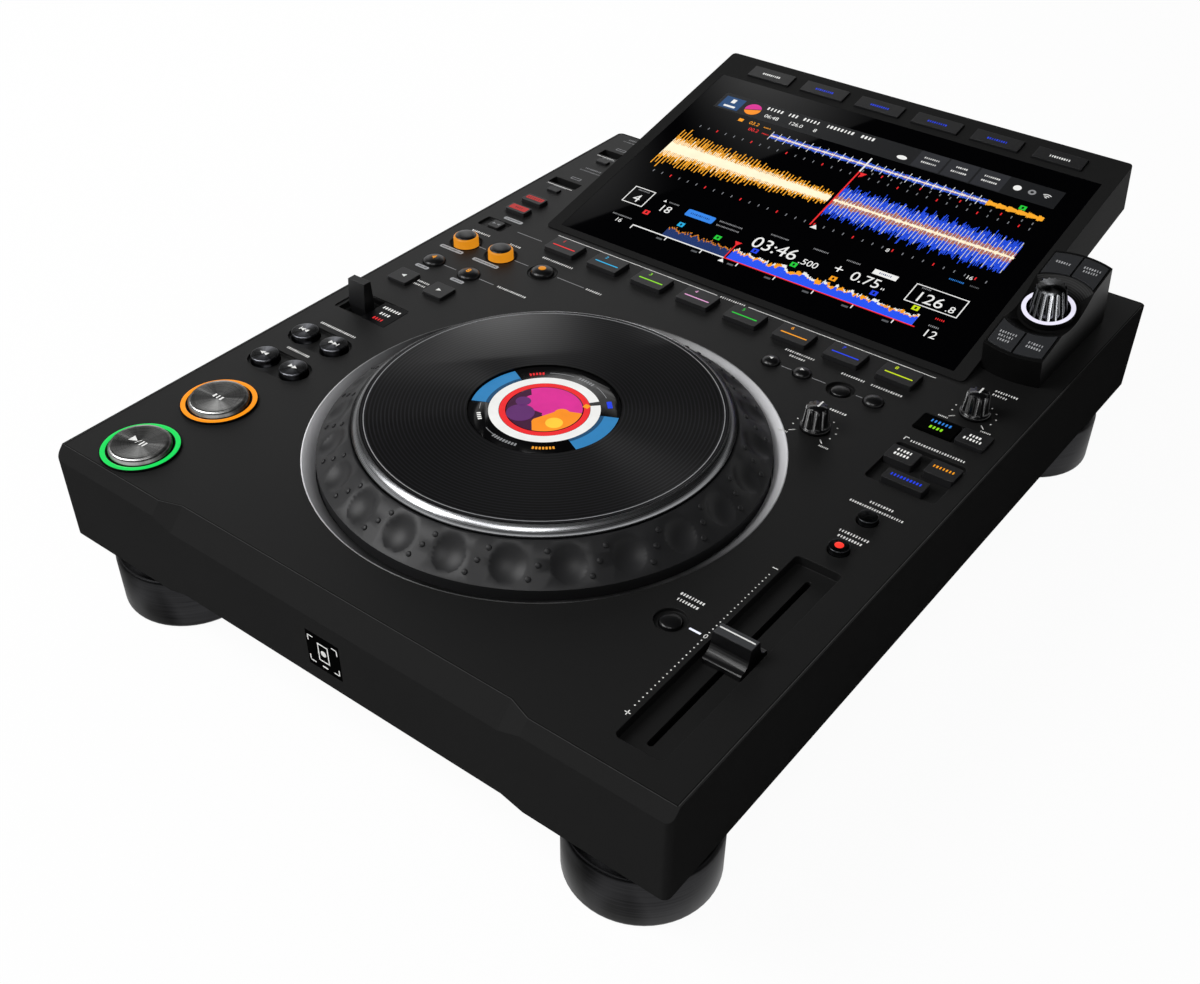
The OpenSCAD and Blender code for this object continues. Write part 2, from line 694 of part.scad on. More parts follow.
// The dimpled ring with the web and hub that carry it on the post.
module jog_ring() {
    bore = post_r + post_clear;
    skin = 3.6;
    slope = atan2(ring_in_z - ring_edge_z, ring_r);
    mid_r = (ring_out + ring_in) / 2;
    mid_z = (ring_edge_z + ring_in_z) / 2;
    ball_r = (pow(dimple_w / 2, 2) + pow(dimple_depth, 2)) / (2 * dimple_depth);
    out = ball_r - dimple_depth;
    color("#3a3b3e") on_jog() difference() {
        rotate_extrude($fn = 180) polygon([
            [bore, hub_bottom], [washer_r, hub_bottom], [washer_r, web_top - web_t], [rim_out - 3.9, rim_seat - web_t],
            [ring_out - skin - 4, -1.4], [ring_out - skin, -4], [ring_out - skin, hub_bottom + 3],
            [ring_out, hub_bottom + 3], [ring_out, ring_edge_z], [ring_in, ring_in_z], [rim_out + 0.3, ring_in_z],
            [rim_out + 0.3, rim_seat],
            [disc_r + 0.1, rim_seat], [disc_r + 0.1, web_top], [bore, web_top]]);
        for (i = [0:dimple_count - 1]) rotate([0, 0, i * 360 / dimple_count])
            translate([mid_r + out * sin(slope), 0, mid_z + out * cos(slope)]) sphere(r = ball_r);
    }
}

module jog_rim() {
    color("#d6d8db") on_jog() rotate_extrude($fn = 180) polygon([
        [disc_r + 0.15, rim_seat + 0.05], [rim_out, rim_seat + 0.05], [rim_out, disc_z - 2.7],
        [disc_r + 0.3, disc_z - 0.05], [disc_r + 0.15, disc_z - 0.05]]);
}

module jog_disc() {
    color("#0d0e10") on_jog() tube(disc_r, jog_display_r + 0.25, disc_z - disc_t, disc_z, $fn = 180);
}

// ---- Tempo fader ------------------------------------------------------

slot_w = 2.6;
stem_w = 1.6;
stem_len = 6;
fader_depth = 11;
fader_w = 13;
fader_ends = 9;             // what the fader's body has beyond its groove at either end
fader_low = trough_low - seat - fader_depth;

module fader_unit() {
    groove = 2 * fader_travel + stem_len;
    color("#77797d") on_deck() at(fader_at) difference() {
        translate([-fader_w / 2, -groove / 2 - fader_ends, fader_low]) cube([fader_w, groove + 2 * fader_ends, fader_depth]);
        translate([-slot_w / 2, -groove / 2 - 1, fader_low + 1.5]) cube([slot_w, groove + 2, fader_depth]);
    }
}

ridge_len = 5.9;            // length of the ridge on top of the fader cap
lip_h = 2.5;                // thickness of the lips at the cap's foot
lip_len = 0.6;

// One half of the cap's profile: an upright flank under the ridge that sweeps out to the lip.
function cap_flank(bottom) =
    let (half = cap_len / 2, low = bottom + lip_h, foot = half - lip_len, sweep = 0.85 * (foot - ridge_len / 2))
    concat([[half, bottom], [half, low - 0.4]], arc(foot, low + sweep, sweep, 270, 180, 7), [[ridge_len / 2, cap_h]]);

// The cap has a narrow ridge with a hollow flank on either side, on a flat stem.
module tempo_slider() {
    bottom = 0.4 - trough_depth;
    flank = cap_flank(bottom);
    color("#303236") on_deck() at(fader_at) {
        translate([-cap_w / 2, 0, 0]) rotate([90, 0, 90]) linear_extrude(cap_w) polygon(concat(
            flank, [for (i = [len(flank) - 1:-1:0]) [-flank[i][0], flank[i][1]]]));
        translate([-stem_w / 2, -stem_len / 2, fader_low + 2.2]) cube([stem_w, stem_len, bottom - fader_low - 2.2 + eps]);
    }
}

// ---- Keys and buttons -------------------------------------------------

// What every key has under the deck: a flange that stops it and a stem to its switch.
module key_foot() { disc(stem_r, board_z + key_travel + 0.4, under - flange_t + eps); }

module flat_key(p, size, top) {
    on_deck() at(p) {
        slab(size, under - eps, top, 0.8);
        slab(size + 2 * [flange_w, flange_w], under - flange_t, under, 0.8);
        key_foot();
    }
}

module round_button(p, r, top, crown = 0.8) {
    on_deck() at(p) {
        rotate_extrude() polygon(concat(
            [[0, under - flange_t], [r + flange_w, under - flange_t], [r + flange_w, under], [r, under], [r, top - crown]],
            [for (i = [1:4]) let (a = 90 * i / 4) [r - crown + crown * cos(a), top - crown + crown * sin(a)]],
            [[0, top]]));
        key_foot();
    }
}

// A shallow dome, as on the small glossy buttons.
module dome_button(p, r, top, rise) {
    on_deck() at(p) {
        rotate_extrude() polygon(concat(
            [[0, under - flange_t], [r + flange_w, under - flange_t], [r + flange_w, under], [r, under]],
            [for (i = [0:6]) let (a = 90 * i / 6) [r * cos(a), top - rise + rise * sin(a)]]));
        key_foot();
    }
}

module transport_button(p) {
    on_deck() at(p) {
        rotate_extrude() polygon([
            [0, under - flange_t], [transport_r + 2.2, under - flange_t], [transport_r + 2.2, under],
            [transport_r, under], [transport_r, transport_h - 1.2], [transport_r - 1, transport_h],
            [transport_r - 2, transport_h], [0, transport_h - 0.7]]);
        disc(stem_r * 2, board_z, under - flange_t + eps);
    }
}

module play_button() { color("#9c9ea1") transport_button(play_at); }
module cue_button() { color("#9c9ea1") transport_button(cue_at); }
module search_back_button() { color("#8f9194") round_button(pair_at(search_at, -1), search_r, 2.4); }
module search_forward_button() { color("#8f9194") round_button(pair_at(search_at, 1), search_r, 2.4); }
module track_back_button() { color("#8f9194") round_button(pair_at(track_at, -1), search_r, 2.4); }
module track_forward_button() { color("#8f9194") round_button(pair_at(track_at, 1), search_r, 2.4); }
module beat_jump_back_key() { color("#2e3033") flat_key(jump_at[0], jump_size, 1.7); }
module beat_jump_forward_key() { color("#2e3033") flat_key(jump_at[1], jump_size, 1.7); }
module beat_loop_four_button() { color("#3c3e42") dome_button(loop_at[0], loop_r, 2.6, 2); }
module beat_loop_eight_button() { color("#3c3e42") dome_button(loop_at[1], loop_r, 2.6, 2); }
module loop_in_button() { color("#e2a52c") round_button(in_out_at[0], in_out_r, 4.6, 1.2); }
module loop_out_button() { color("#e2a52c") round_button(in_out_at[1], in_out_r, 4.6, 1.2); }
module reloop_button() { color("#3c3e42") dome_button(reloop_at, reloop_r, 2.8, 2.2); }
module loader_key() { color("#3c3e42") flat_key(loader_at, loader_size, 0.4); }
module slip_quantize_keys() { color("#3a2c2d") for (p = slip_at) flat_key(p, slip_size, 2.3); }
module usb_stop_keys() { color("#2e3033") for (p = usb_stop_at) flat_key(p, usb_stop_size, 1.2); }
module hot_cue(i) { color("#35373a") flat_key(hot_at(i - 1), hot_size, hot_h); }
module cue_call_buttons() { color("#3c3e42") for (p = call_at) dome_button(p, call_r, 2.6, 2.2); }
module delete_button() { color("#3c3e42") dome_button(delete_at, small_r, 0.4, 1); }
module memory_button() { color("#3c3e42") dome_button(memory_at, memory_r, 2.6, 2.2); }
module jog_mode_key() { color("#3c3e42") flat_key(jog_mode_at, jog_mode_size, 1.2); }
module beat_sync_key() { color("#3c3e42") flat_key(beat_sync_at, beat_sync_size, 1.3); }
module key_sync_key() { color("#3c3e42") flat_key(key_sync_at, key_sync_size, 1.3); }
module master_key() { color("#3c3e42") flat_key(master_at, master_size, 1.3); }
module tempo_range_button() { color("#6b6d70") round_button(tempo_range_at, small_r, 2.6, 0.5); }
module master_tempo_button() { color("#6b6d70") round_button(master_tempo_at, small_r, 2.6, 0.5); }
module tempo_reset_button() { color("#3c3e42") dome_button(reset_at, small_r, 0.4, 1); }

module deck_knob(p) {
    on_deck() at(p) {
        fluted(7, 5.3, 0.4, 11.4, 10, 1.2);
        disc(knob_hole_r - 0.15, board_z, 0.4 + eps);
    }
}
module jog_adjust_knob() { color("#1e1f22") deck_knob(jog_adjust_at); }
module speed_adjust_knob() { color("#1e1f22") deck_knob(speed_adjust_at); }

module direction_lever() {
    color("#26272a") on_deck() at(lever_at) {
        translate([-lever_w / 2, 0, 0]) rotate([90, 0, 90]) linear_extrude(lever_w) polygon([
            [-lever_t / 2, lever_h], [-lever_base_t / 2, 0], [-lever_foot_t / 2, lever_pivot_z],
            [lever_foot_t / 2, lever_pivot_z], [lever_base_t / 2, 0], [lever_t / 2, lever_h]]);
        translate([-lever_w / 2, 0, lever_pivot_z]) rotate([0, 90, 0]) cylinder(r = 3, h = lever_w);
        translate([-lever_w / 2 - ear_gap - ear_t, 0, lever_pivot_z]) rotate([0, 90, 0])
            cylinder(r = lever_pin_r, h = lever_w + 2 * (ear_gap + ear_t));
    }
}

// ---- Light guides, boards and sockets ---------------------------------

module light_guides() {
    color("#7ff0a0") on_deck() {
        for (p = [play_at, cue_at]) at(p) tube(transport_ring_r, transport_ring_in, -light_ledge, 1.1);
        at(mode_window_at) slab(window_size, -tray_depth, 0.6, 0.8);
    }
    color("#f4f4f4") on_selector() tube(selector_ring_r, selector_ring_in, ring_floor - 2, ring_floor + 3.4);
}

board_side = side - 5.5;     // the control board: two arms beside the jog well and a stretch behind it
board_arm = dish_out + 6.9;
board_front = 142;
board_mid = jog_d + dish_out + 4.1;
board_back = disp_front - 2.6;
board_far = 330;
main_chips = [[[-30, 0], [30, 30, 3]], [[30, 10], [24, 24, 2]]];    // place, and width, length and height

module circuit_boards() {
    color("#1d4a32") on_deck() {
        translate([0, 0, board_z - board_t]) linear_extrude(board_t) difference() {
            polygon([
                [-board_side, board_front], [-board_arm, board_front], [-board_arm, board_mid], [board_arm, board_mid],
                [board_arm, board_front], [board_side, board_front], [board_side, board_back], [-board_arm, board_back],
                [-board_arm, board_far], [-board_side, board_far]]);
            translate(lever_at) square([lever_w + 2 * (ear_gap + ear_t) + 3.6, 12], center = true);
        }
        at(main_board_at, board_lift + base_t - case_h + base_lift) {
            linear_extrude(board_t) square(main_board_size, center = true);
            for (c = main_chips) at(c[0], board_t - eps) linear_extrude(c[1][2]) square([c[1][0], c[1][1]], center = true);
        }
    }
}

psu_blocks = [[[-20, -14], [34, 30, 16]], [[-16, 28], [40, 4, 12]]];   // transformer and cooling fin
psu_cans = [[[24, 20], [9, 18]], [[24, -18], [7, 16]]];                // capacitors: place, and radius and height

module power_supply() {
    color("#8f8f88") on_deck() at(psu_at, board_lift + base_t - case_h + base_lift) {
        linear_extrude(board_t) square(psu_size, center = true);
        for (c = psu_blocks) at(c[0], board_t - eps) linear_extrude(c[1][2]) square([c[1][0], c[1][1]], center = true);
        for (c = psu_cans) at(c[0], board_t - eps) cylinder(r = c[1][0], h = c[1][1]);
    }
}

port_depth = 11;
module deck_port(i, hole, tongue) {
    at(usb_bay_at[i]) difference() {
        slab(usb_bay_size[i] + [3, 3], under - port_depth, under, 0.6);
        translate([0, 0, under - port_depth + 1.5]) linear_extrude(port_depth) difference() {
            square(hole, center = true);
            translate([0, tongue[1] / 2]) square(tongue, center = true);
        }
    }
}

module rear_piece(x) { translate([x, case_d, rear_z]) rotate([-90, 0, 0]) children(); }

module connectors() {
    color("#b9bbbe") on_deck() {
        deck_port(0, [12.2, 4.6], [10.6, 1.6]);
        deck_port(1, [8.8, 3], [6.8, 0.8]);
        for (x = rca_x) rear_piece(x) {
            difference() {
                disc(4.15, -eps, 8.5);
                disc(1.7, 1, 9);
            }
            disc(5, -wall - 1, 1);
            disc(7, -wall - 8, -wall - seat);
        }
        rear_piece(lan_x) difference() {
            translate([0, 0, -15]) linear_extrude(15.6) square(lan_size, center = true);
            translate([0, 0.6, -11]) linear_extrude(13) square([11.8, 8], center = true);
        }
        rear_piece(lan_x) difference() {
            translate([0, 0, -15]) linear_extrude(15 - wall - seat) square(lan_size + [3, 3], center = true);
            translate([0, 0, -16]) linear_extrude(17) square(lan_size - [eps, eps], center = true);
        }
        rear_piece(inlet_x) difference() {
            union() {
                translate([0, 0, -18]) linear_extrude(18.8) square(inlet_size, center = true);
                translate([0, 0, -18]) linear_extrude(18 - wall - seat) square(inlet_size + [3, 3], center = true);
            }
            translate([0, 0, -15]) linear_extrude(17) square([24.6, 16.6], center = true);
        }
        for (px = [-7, 0, 7]) rear_piece(inlet_x) translate([px, px == 0 ? -2 : 2, -15 - eps])
            linear_extrude(10) square([2, 4], center = true);
    }
}

module power_button() {
    color("#1b1b1d") on_deck() rear_piece(power_x) {
        translate([0, 0, -wall - seat - eps]) linear_extrude(wall + seat + eps + 2.6) square(power_size, center = true);
        translate([0, 0, -wall - seat - 2]) linear_extrude(2) square(power_size + [3, 3], center = true);
    }
}

main_case();
top_plate();
base_plate();
feet();
display_housing();
display_panel();
display_keys();
selector_pod();
selector_keys();
selector_shaft();
selector_knob();
jog_well();
jog_display();
jog_ring();
jog_rim();
jog_disc();
fader_unit();
tempo_slider();
light_guides();
circuit_boards();
power_supply();
connectors();
power_button();
play_button();
cue_button();
search_back_button();
search_forward_button();
track_back_button();
track_forward_button();
direction_lever();
beat_jump_back_key();
beat_jump_forward_key();
beat_loop_four_button();
beat_loop_eight_button();
loop_in_button();
loop_out_button();
reloop_button();
loader_key();
slip_quantize_keys();
usb_stop_keys();
hot_cue(1);  // hot_cue_1
hot_cue(2);  // hot_cue_2
hot_cue(3);  // hot_cue_3
hot_cue(4);  // hot_cue_4
hot_cue(5);  // hot_cue_5
hot_cue(6);  // hot_cue_6
hot_cue(7);  // hot_cue_7
hot_cue(8);  // hot_cue_8
cue_call_buttons();
delete_button();
memory_button();
jog_adjust_knob();
speed_adjust_knob();
jog_mode_key();
beat_sync_key();
key_sync_key();
master_key();
tempo_range_button();
master_tempo_button();
tempo_reset_button();
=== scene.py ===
"""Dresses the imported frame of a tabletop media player: plastics, metals, lit rings, screens and small trim.

Each sub-assembly is a class. Sizes are in millimetres: x from the middle of the case, d from its front face
to the back, z over the deck; on the display slope, s along it from its front edge and n out of it.
"""

from __future__ import annotations

import json
import logging
import math
from dataclasses import dataclass
from enum import Enum
from typing import Callable, Iterable, Sequence

import bmesh
import bpy
from mathutils import Matrix, Vector

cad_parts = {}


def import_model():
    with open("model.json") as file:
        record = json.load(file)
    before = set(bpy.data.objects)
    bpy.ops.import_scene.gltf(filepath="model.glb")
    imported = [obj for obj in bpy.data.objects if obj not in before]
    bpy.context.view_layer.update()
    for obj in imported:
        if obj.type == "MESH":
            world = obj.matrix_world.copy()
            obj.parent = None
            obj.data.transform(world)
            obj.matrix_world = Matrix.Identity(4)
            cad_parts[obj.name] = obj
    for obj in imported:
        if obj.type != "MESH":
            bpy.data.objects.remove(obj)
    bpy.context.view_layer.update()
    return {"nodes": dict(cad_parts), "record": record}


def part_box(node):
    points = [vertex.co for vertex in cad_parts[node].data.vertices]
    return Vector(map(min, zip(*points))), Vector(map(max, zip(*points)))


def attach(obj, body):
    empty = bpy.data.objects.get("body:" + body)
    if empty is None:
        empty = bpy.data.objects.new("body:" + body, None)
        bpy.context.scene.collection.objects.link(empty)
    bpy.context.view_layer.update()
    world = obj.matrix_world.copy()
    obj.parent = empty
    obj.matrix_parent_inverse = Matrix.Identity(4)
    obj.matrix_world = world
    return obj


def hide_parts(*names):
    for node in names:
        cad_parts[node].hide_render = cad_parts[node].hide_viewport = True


log = logging.getLogger("player")
MM = 0.001
SINK = 0.02  # millimetres that a flat mark starts under its surface
PANE_GLOSS = 0.4  # roughness of lit marks
CAP_TO_SIZE = 1.38  # text size over the height of its digits
UP = (0.0, 0.0, 1.0)
WHITE = (1.0, 1.0, 1.0, 1.0)
Outline = list[tuple[float, float]]
Tree, Node, Socket = bpy.types.NodeTree, bpy.types.Node, bpy.types.NodeSocket
Thing = bpy.types.Object


# ---- Places ------------------------------------------------------------


@dataclass(frozen=True)
class Slope:
    """Where the display's plane lies on the deck, in millimetres and degrees."""

    front: float = 290.6
    lip: float = 0.5
    tilt: float = 12.64


class Places:
    """Turns millimetres on the deck, the display slope or the front face into places in the frame."""

    def __init__(self, slope: Slope) -> None:
        """Reads the case's front face and the deck's height from the frame.

        Args:
            slope: the plane of the display.
        """
        self.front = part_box("main_case")[0].y
        self.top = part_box("main_case")[1].z
        self.slope = slope

    def deck(self, x: float, d: float, z: float = 0.0) -> Matrix:
        """Place of a point on the deck."""
        spot = Vector((x * MM, self.front + d * MM, self.top + z * MM))
        return Matrix.Translation(spot) @ Matrix.Scale(MM, 4)

    def display(self, x: float, s: float, n: float = 0.0) -> Matrix:
        """Place of a point on the display slope."""
        tilted = Matrix.Rotation(math.radians(self.slope.tilt), 4, "X")
        local = Matrix.Translation(Vector((x, s, n)) * MM)
        corner = Vector((0.0, self.front + self.slope.front * MM, self.top + self.slope.lip * MM))
        return Matrix.Translation(corner) @ tilted @ local @ Matrix.Scale(MM, 4)

    def face(self, x: float, z: float, out: float = 0.0) -> Matrix:
        """Place on the front face: x across, z over the deck (below is negative), out of the face."""
        spot = Vector((x * MM, self.front - out * MM, self.top + z * MM))
        return Matrix.Translation(spot) @ Matrix.Rotation(math.pi / 2, 4, "X") @ Matrix.Scale(MM, 4)

    def display_normal(self) -> Vector:
        """Unit vector out of the display."""
        tilt = math.radians(self.slope.tilt)
        return Vector((0.0, -math.sin(tilt), math.cos(tilt)))


# ---- Shapes ------------------------------------------------------------


def arc(cx: float, cy: float, r: float, start: float, end: float, steps: int) -> Outline:
    """Points along an arc, from start to end in degrees."""
    angles = [math.radians(start + (end - start) * i / steps) for i in range(steps + 1)]
    return [(cx + r * math.cos(a), cy + r * math.sin(a)) for a in angles]


def rounded(w: float, h: float, r: float, steps: int = 5) -> Outline:
    """Outline of a rounded rectangle about the origin."""
    x, y = w / 2 - r, h / 2 - r
    return (
        arc(x, y, r, 0, 90, steps) + arc(-x, y, r, 90, 180, steps)
        + arc(-x, -y, r, 180, 270, steps) + arc(x, -y, r, 270, 360, steps)
    )


def shrink(outline: Outline, amount: float) -> Outline:
    """Moves a convex outline's points inwards along the mean of their sides' normals."""
    out = []
    for i, point in enumerate(outline):
        here = Vector(point)
        before, after = Vector(outline[i - 1]), Vector(outline[(i + 1) % len(outline)])
        normals = [Vector((-side.y, side.x)).normalized()
                   for side in (here - before, after - here) if side.length > 1e-6]
        mean = sum(normals, Vector((0.0, 0.0))).normalized()
        reach = amount / max(0.3, mean.dot(normals[0]))
        out.append(tuple(here + mean * reach))
    return out


def sector(r_in: float, r_out: float, start: float, end: float, steps: int = 24) -> Outline:
    """Outline of a piece of a ring between two angles in degrees."""
    return arc(0, 0, r_out, start, end, steps) + arc(0, 0, r_in, end, start, steps)


class Shape:
    """Faces in millimetres, gathered before they become one piece."""

    def __init__(self) -> None:
        """Starts with no faces."""
        self.mesh = bmesh.new()

    def loft(self, sections: Sequence[Sequence[Sequence[float]]], at: Matrix = Matrix()) -> "Shape":
        """Skins closed sections of equal length, bottom to top, and closes both ends.

        Args:
            sections: rings of points.
            at: a place within the shape, in millimetres.

        Returns:
            The shape itself.
        """
        rings = [[self.mesh.verts.new(at @ Vector(point)) for point in ring] for ring in sections]
        for low, high in zip(rings, rings[1:]):
            for i in range(len(low)):
                j = (i + 1) % len(low)
                self.mesh.faces.new((low[i], low[j], high[j], high[i]))
        self.mesh.faces.new(list(reversed(rings[0])))
        self.mesh.faces.new(rings[-1])
        return self

    def prism(self, outline: Outline, low: float, high: float, chamfer: float = 0.0,
              at: Matrix = Matrix()) -> "Shape":
        """Stands an outline up, with a chamfer round its top edge.

        Args:
            outline: its points.
            low: the height of its foot.
            high: the height of its top.
            chamfer: how wide the chamfer is.
            at: a place within the shape, in millimetres.

        Returns:
            The shape itself.
        """
        sections = [[(x, y, low) for x, y in outline]]
        if chamfer:
            sections.append([(x, y, high - chamfer) for x, y in outline])
            outline = shrink(outline, chamfer)
        sections.append([(x, y, high) for x, y in outline])
        return self.loft(sections, at)

    def lathe(self, profile: Outline, steps: int = 96, at: Matrix = Matrix()) -> "Shape":
        """Turns a profile about the upright axis.

        Args:
            profile: radius and height of its points, closed or from axis to axis.
            steps: how many sides the round has.
            at: a place within the shape, in millimetres.

        Returns:
            The shape itself.
        """
        count = len(profile)
        rings = []
        for k in range(steps):
            turn = 2 * math.pi * k / steps
            rings.append([self.mesh.verts.new(at @ Vector((r * math.cos(turn), r * math.sin(turn), z)))
                          for r, z in profile])
        closed = profile[0][0] > 0 and profile[-1][0] > 0
        for k in range(steps):
            here, there = rings[k], rings[(k + 1) % steps]
            for i in range(count if closed else count - 1):
                j = (i + 1) % count
                self.mesh.faces.new((here[i], there[i], there[j], here[j]))
        bmesh.ops.remove_doubles(self.mesh, verts=self.mesh.verts, dist=1e-5)
        return self

    def copy_of(self, node: Thing, keep: Callable[[Vector], bool] | None = None) -> "Shape":
        """Takes over a solid of the frame in metres and merges its doubled points.

        Args:
            node: the solid.
            keep: tells from a loose part's middle whether the part stays; without it all stay.

        Returns:
            The shape itself.
        """
        self.mesh.from_mesh(node.data)
        bmesh.ops.remove_doubles(self.mesh, verts=self.mesh.verts, dist=1e-6)
        if keep:
            seen: set[int] = set()
            self.mesh.verts.index_update()
            for seed in list(self.mesh.verts):
                if not seed.is_valid or seed.index in seen:
                    continue
                island, edge = [], [seed]
                seen.add(seed.index)
                while edge:
                    vert = edge.pop()
                    island.append(vert)
                    for link in vert.link_edges:
                        other = link.other_vert(vert)
                        if other.index not in seen:
                            seen.add(other.index)
                            edge.append(other)
                middle = sum((v.co for v in island), Vector()) / len(island)
                if not keep(middle):
                    bmesh.ops.delete(self.mesh, geom=island, context="VERTS")
                    self.mesh.verts.index_update()
                    seen = set()
        return self

    def piece(self, name: str, finish: "Finish", body: str, at: Matrix = Matrix(), smooth: float = 32.0,
              outward: bool = True) -> Thing:
        """Makes the piece: its place goes into its mesh, and it rides on a body.

        Args:
            name: the piece's name.
            finish: its finish.
            body: the body that carries it.
            at: its place in the frame.
            smooth: edges flatter than this many degrees are shaded smooth.
            outward: whether faces are turned outwards first.

        Returns:
            The object.
        """
        if outward:
            bmesh.ops.recalc_face_normals(self.mesh, faces=self.mesh.faces)
        data = bpy.data.meshes.new(name)
        self.mesh.to_mesh(data)
        self.mesh.free()
        data.transform(at)
        return settle(bpy.data.objects.new(name, data), finish, body, smooth)


def settle(thing: Thing, finish: "Finish", body: str, smooth: float = 32.0) -> Thing:
    """Links a piece, gives it its finish and smooth shading, and lets it ride on a body.

    Args:
        thing: the piece.
        finish: its finish.
        body: the body that carries it.
        smooth: edges flatter than this many degrees are shaded smooth.

    Returns:
        The piece.
    """
    if thing.name not in bpy.context.scene.collection.objects:
        bpy.context.scene.collection.objects.link(thing)
    mesh = thing.data
    mesh.materials.clear()
    mesh.materials.append(finish.material())
    mesh.polygons.foreach_set("material_index", [0] * len(mesh.polygons))
    mesh.polygons.foreach_set("use_smooth", [True] * len(mesh.polygons))
    mesh.set_sharp_from_angle(angle=math.radians(smooth))
    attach(thing, body)
    log.info("piece %s on %s, %d faces", thing.name, body, len(mesh.polygons))
    return thing


def stroke(x0: float, y0: float, x1: float, y1: float,
           width: float) -> tuple[float, float, float, float, float]:
    """A straight stroke between two points, as x, y, length, width and turn."""
    return ((x0 + x1) / 2, (y0 + y1) / 2, math.hypot(x1 - x0, y1 - y0), width,
            math.degrees(math.atan2(y1 - y0, x1 - x0)))


def arrow(size: float, way: float) -> Outline:
    """A triangle that points to the right, or with way -1 to the left."""
    points = [(-size * 0.45, -size * 0.5), (size * 0.55, 0.0), (-size * 0.45, size * 0.5)]
    return points if way > 0 else [(-x, y) for x, y in reversed(points)]


def numerals(text: str, height: float, at: Matrix, name: str, finish: "Finish", body: str) -> Thing:
    """Sets digits flat on a surface.

    Args:
        text: the digits.
        height: their height in millimetres.
        at: the place of their middle.
        name: the piece's name.
        finish: its finish.
        body: the body that carries it.

    Returns:
        The object.
    """
    curve = bpy.data.curves.new(name, "FONT")
    curve.body = text
    curve.size = height * CAP_TO_SIZE
    curve.extrude = 0.03
    curve.align_x = "CENTER"
    curve.align_y = "CENTER"
    made = bpy.data.objects.new(name + "_curve", curve)
    bpy.context.scene.collection.objects.link(made)
    bpy.context.view_layer.update()
    mesh = bpy.data.meshes.new_from_object(made.evaluated_get(bpy.context.evaluated_depsgraph_get()))
    bpy.data.objects.remove(made)
    mesh.name = name
    mesh.transform(at)
    return settle(bpy.data.objects.new(name, mesh), finish, body)


def add_node(tree: Tree, kind: str, settings: dict | None = None, inputs: dict | None = None) -> Node:
    """Adds a node with its settings and links.

    Args:
        tree: the tree it joins.
        kind: the node's type.
        settings: attribute values.
        inputs: socket name or index to a value or to another node's output.

    Returns:
        The node.
    """
    node = tree.nodes.new(kind)
    for key, value in (settings or {}).items():
        setattr(node, key, value)
    for key, value in (inputs or {}).items():
        if isinstance(value, Socket):
            tree.links.new(value, node.inputs[key])
        else:
            node.inputs[key].default_value = value
    return node


def linear(colour: str) -> tuple[float, float, float, float]:
    """Turns an sRGB hex colour such as #2a2b2c into linear red, green, blue and alpha."""
    parts = [int(colour[i:i + 2], 16) / 255 for i in (1, 3, 5)]
    return (*(c / 12.92 if c <= 0.04045 else ((c + 0.055) / 1.055) ** 2.4 for c in parts), 1.0)


# ---- Finishes ----------------------------------------------------------


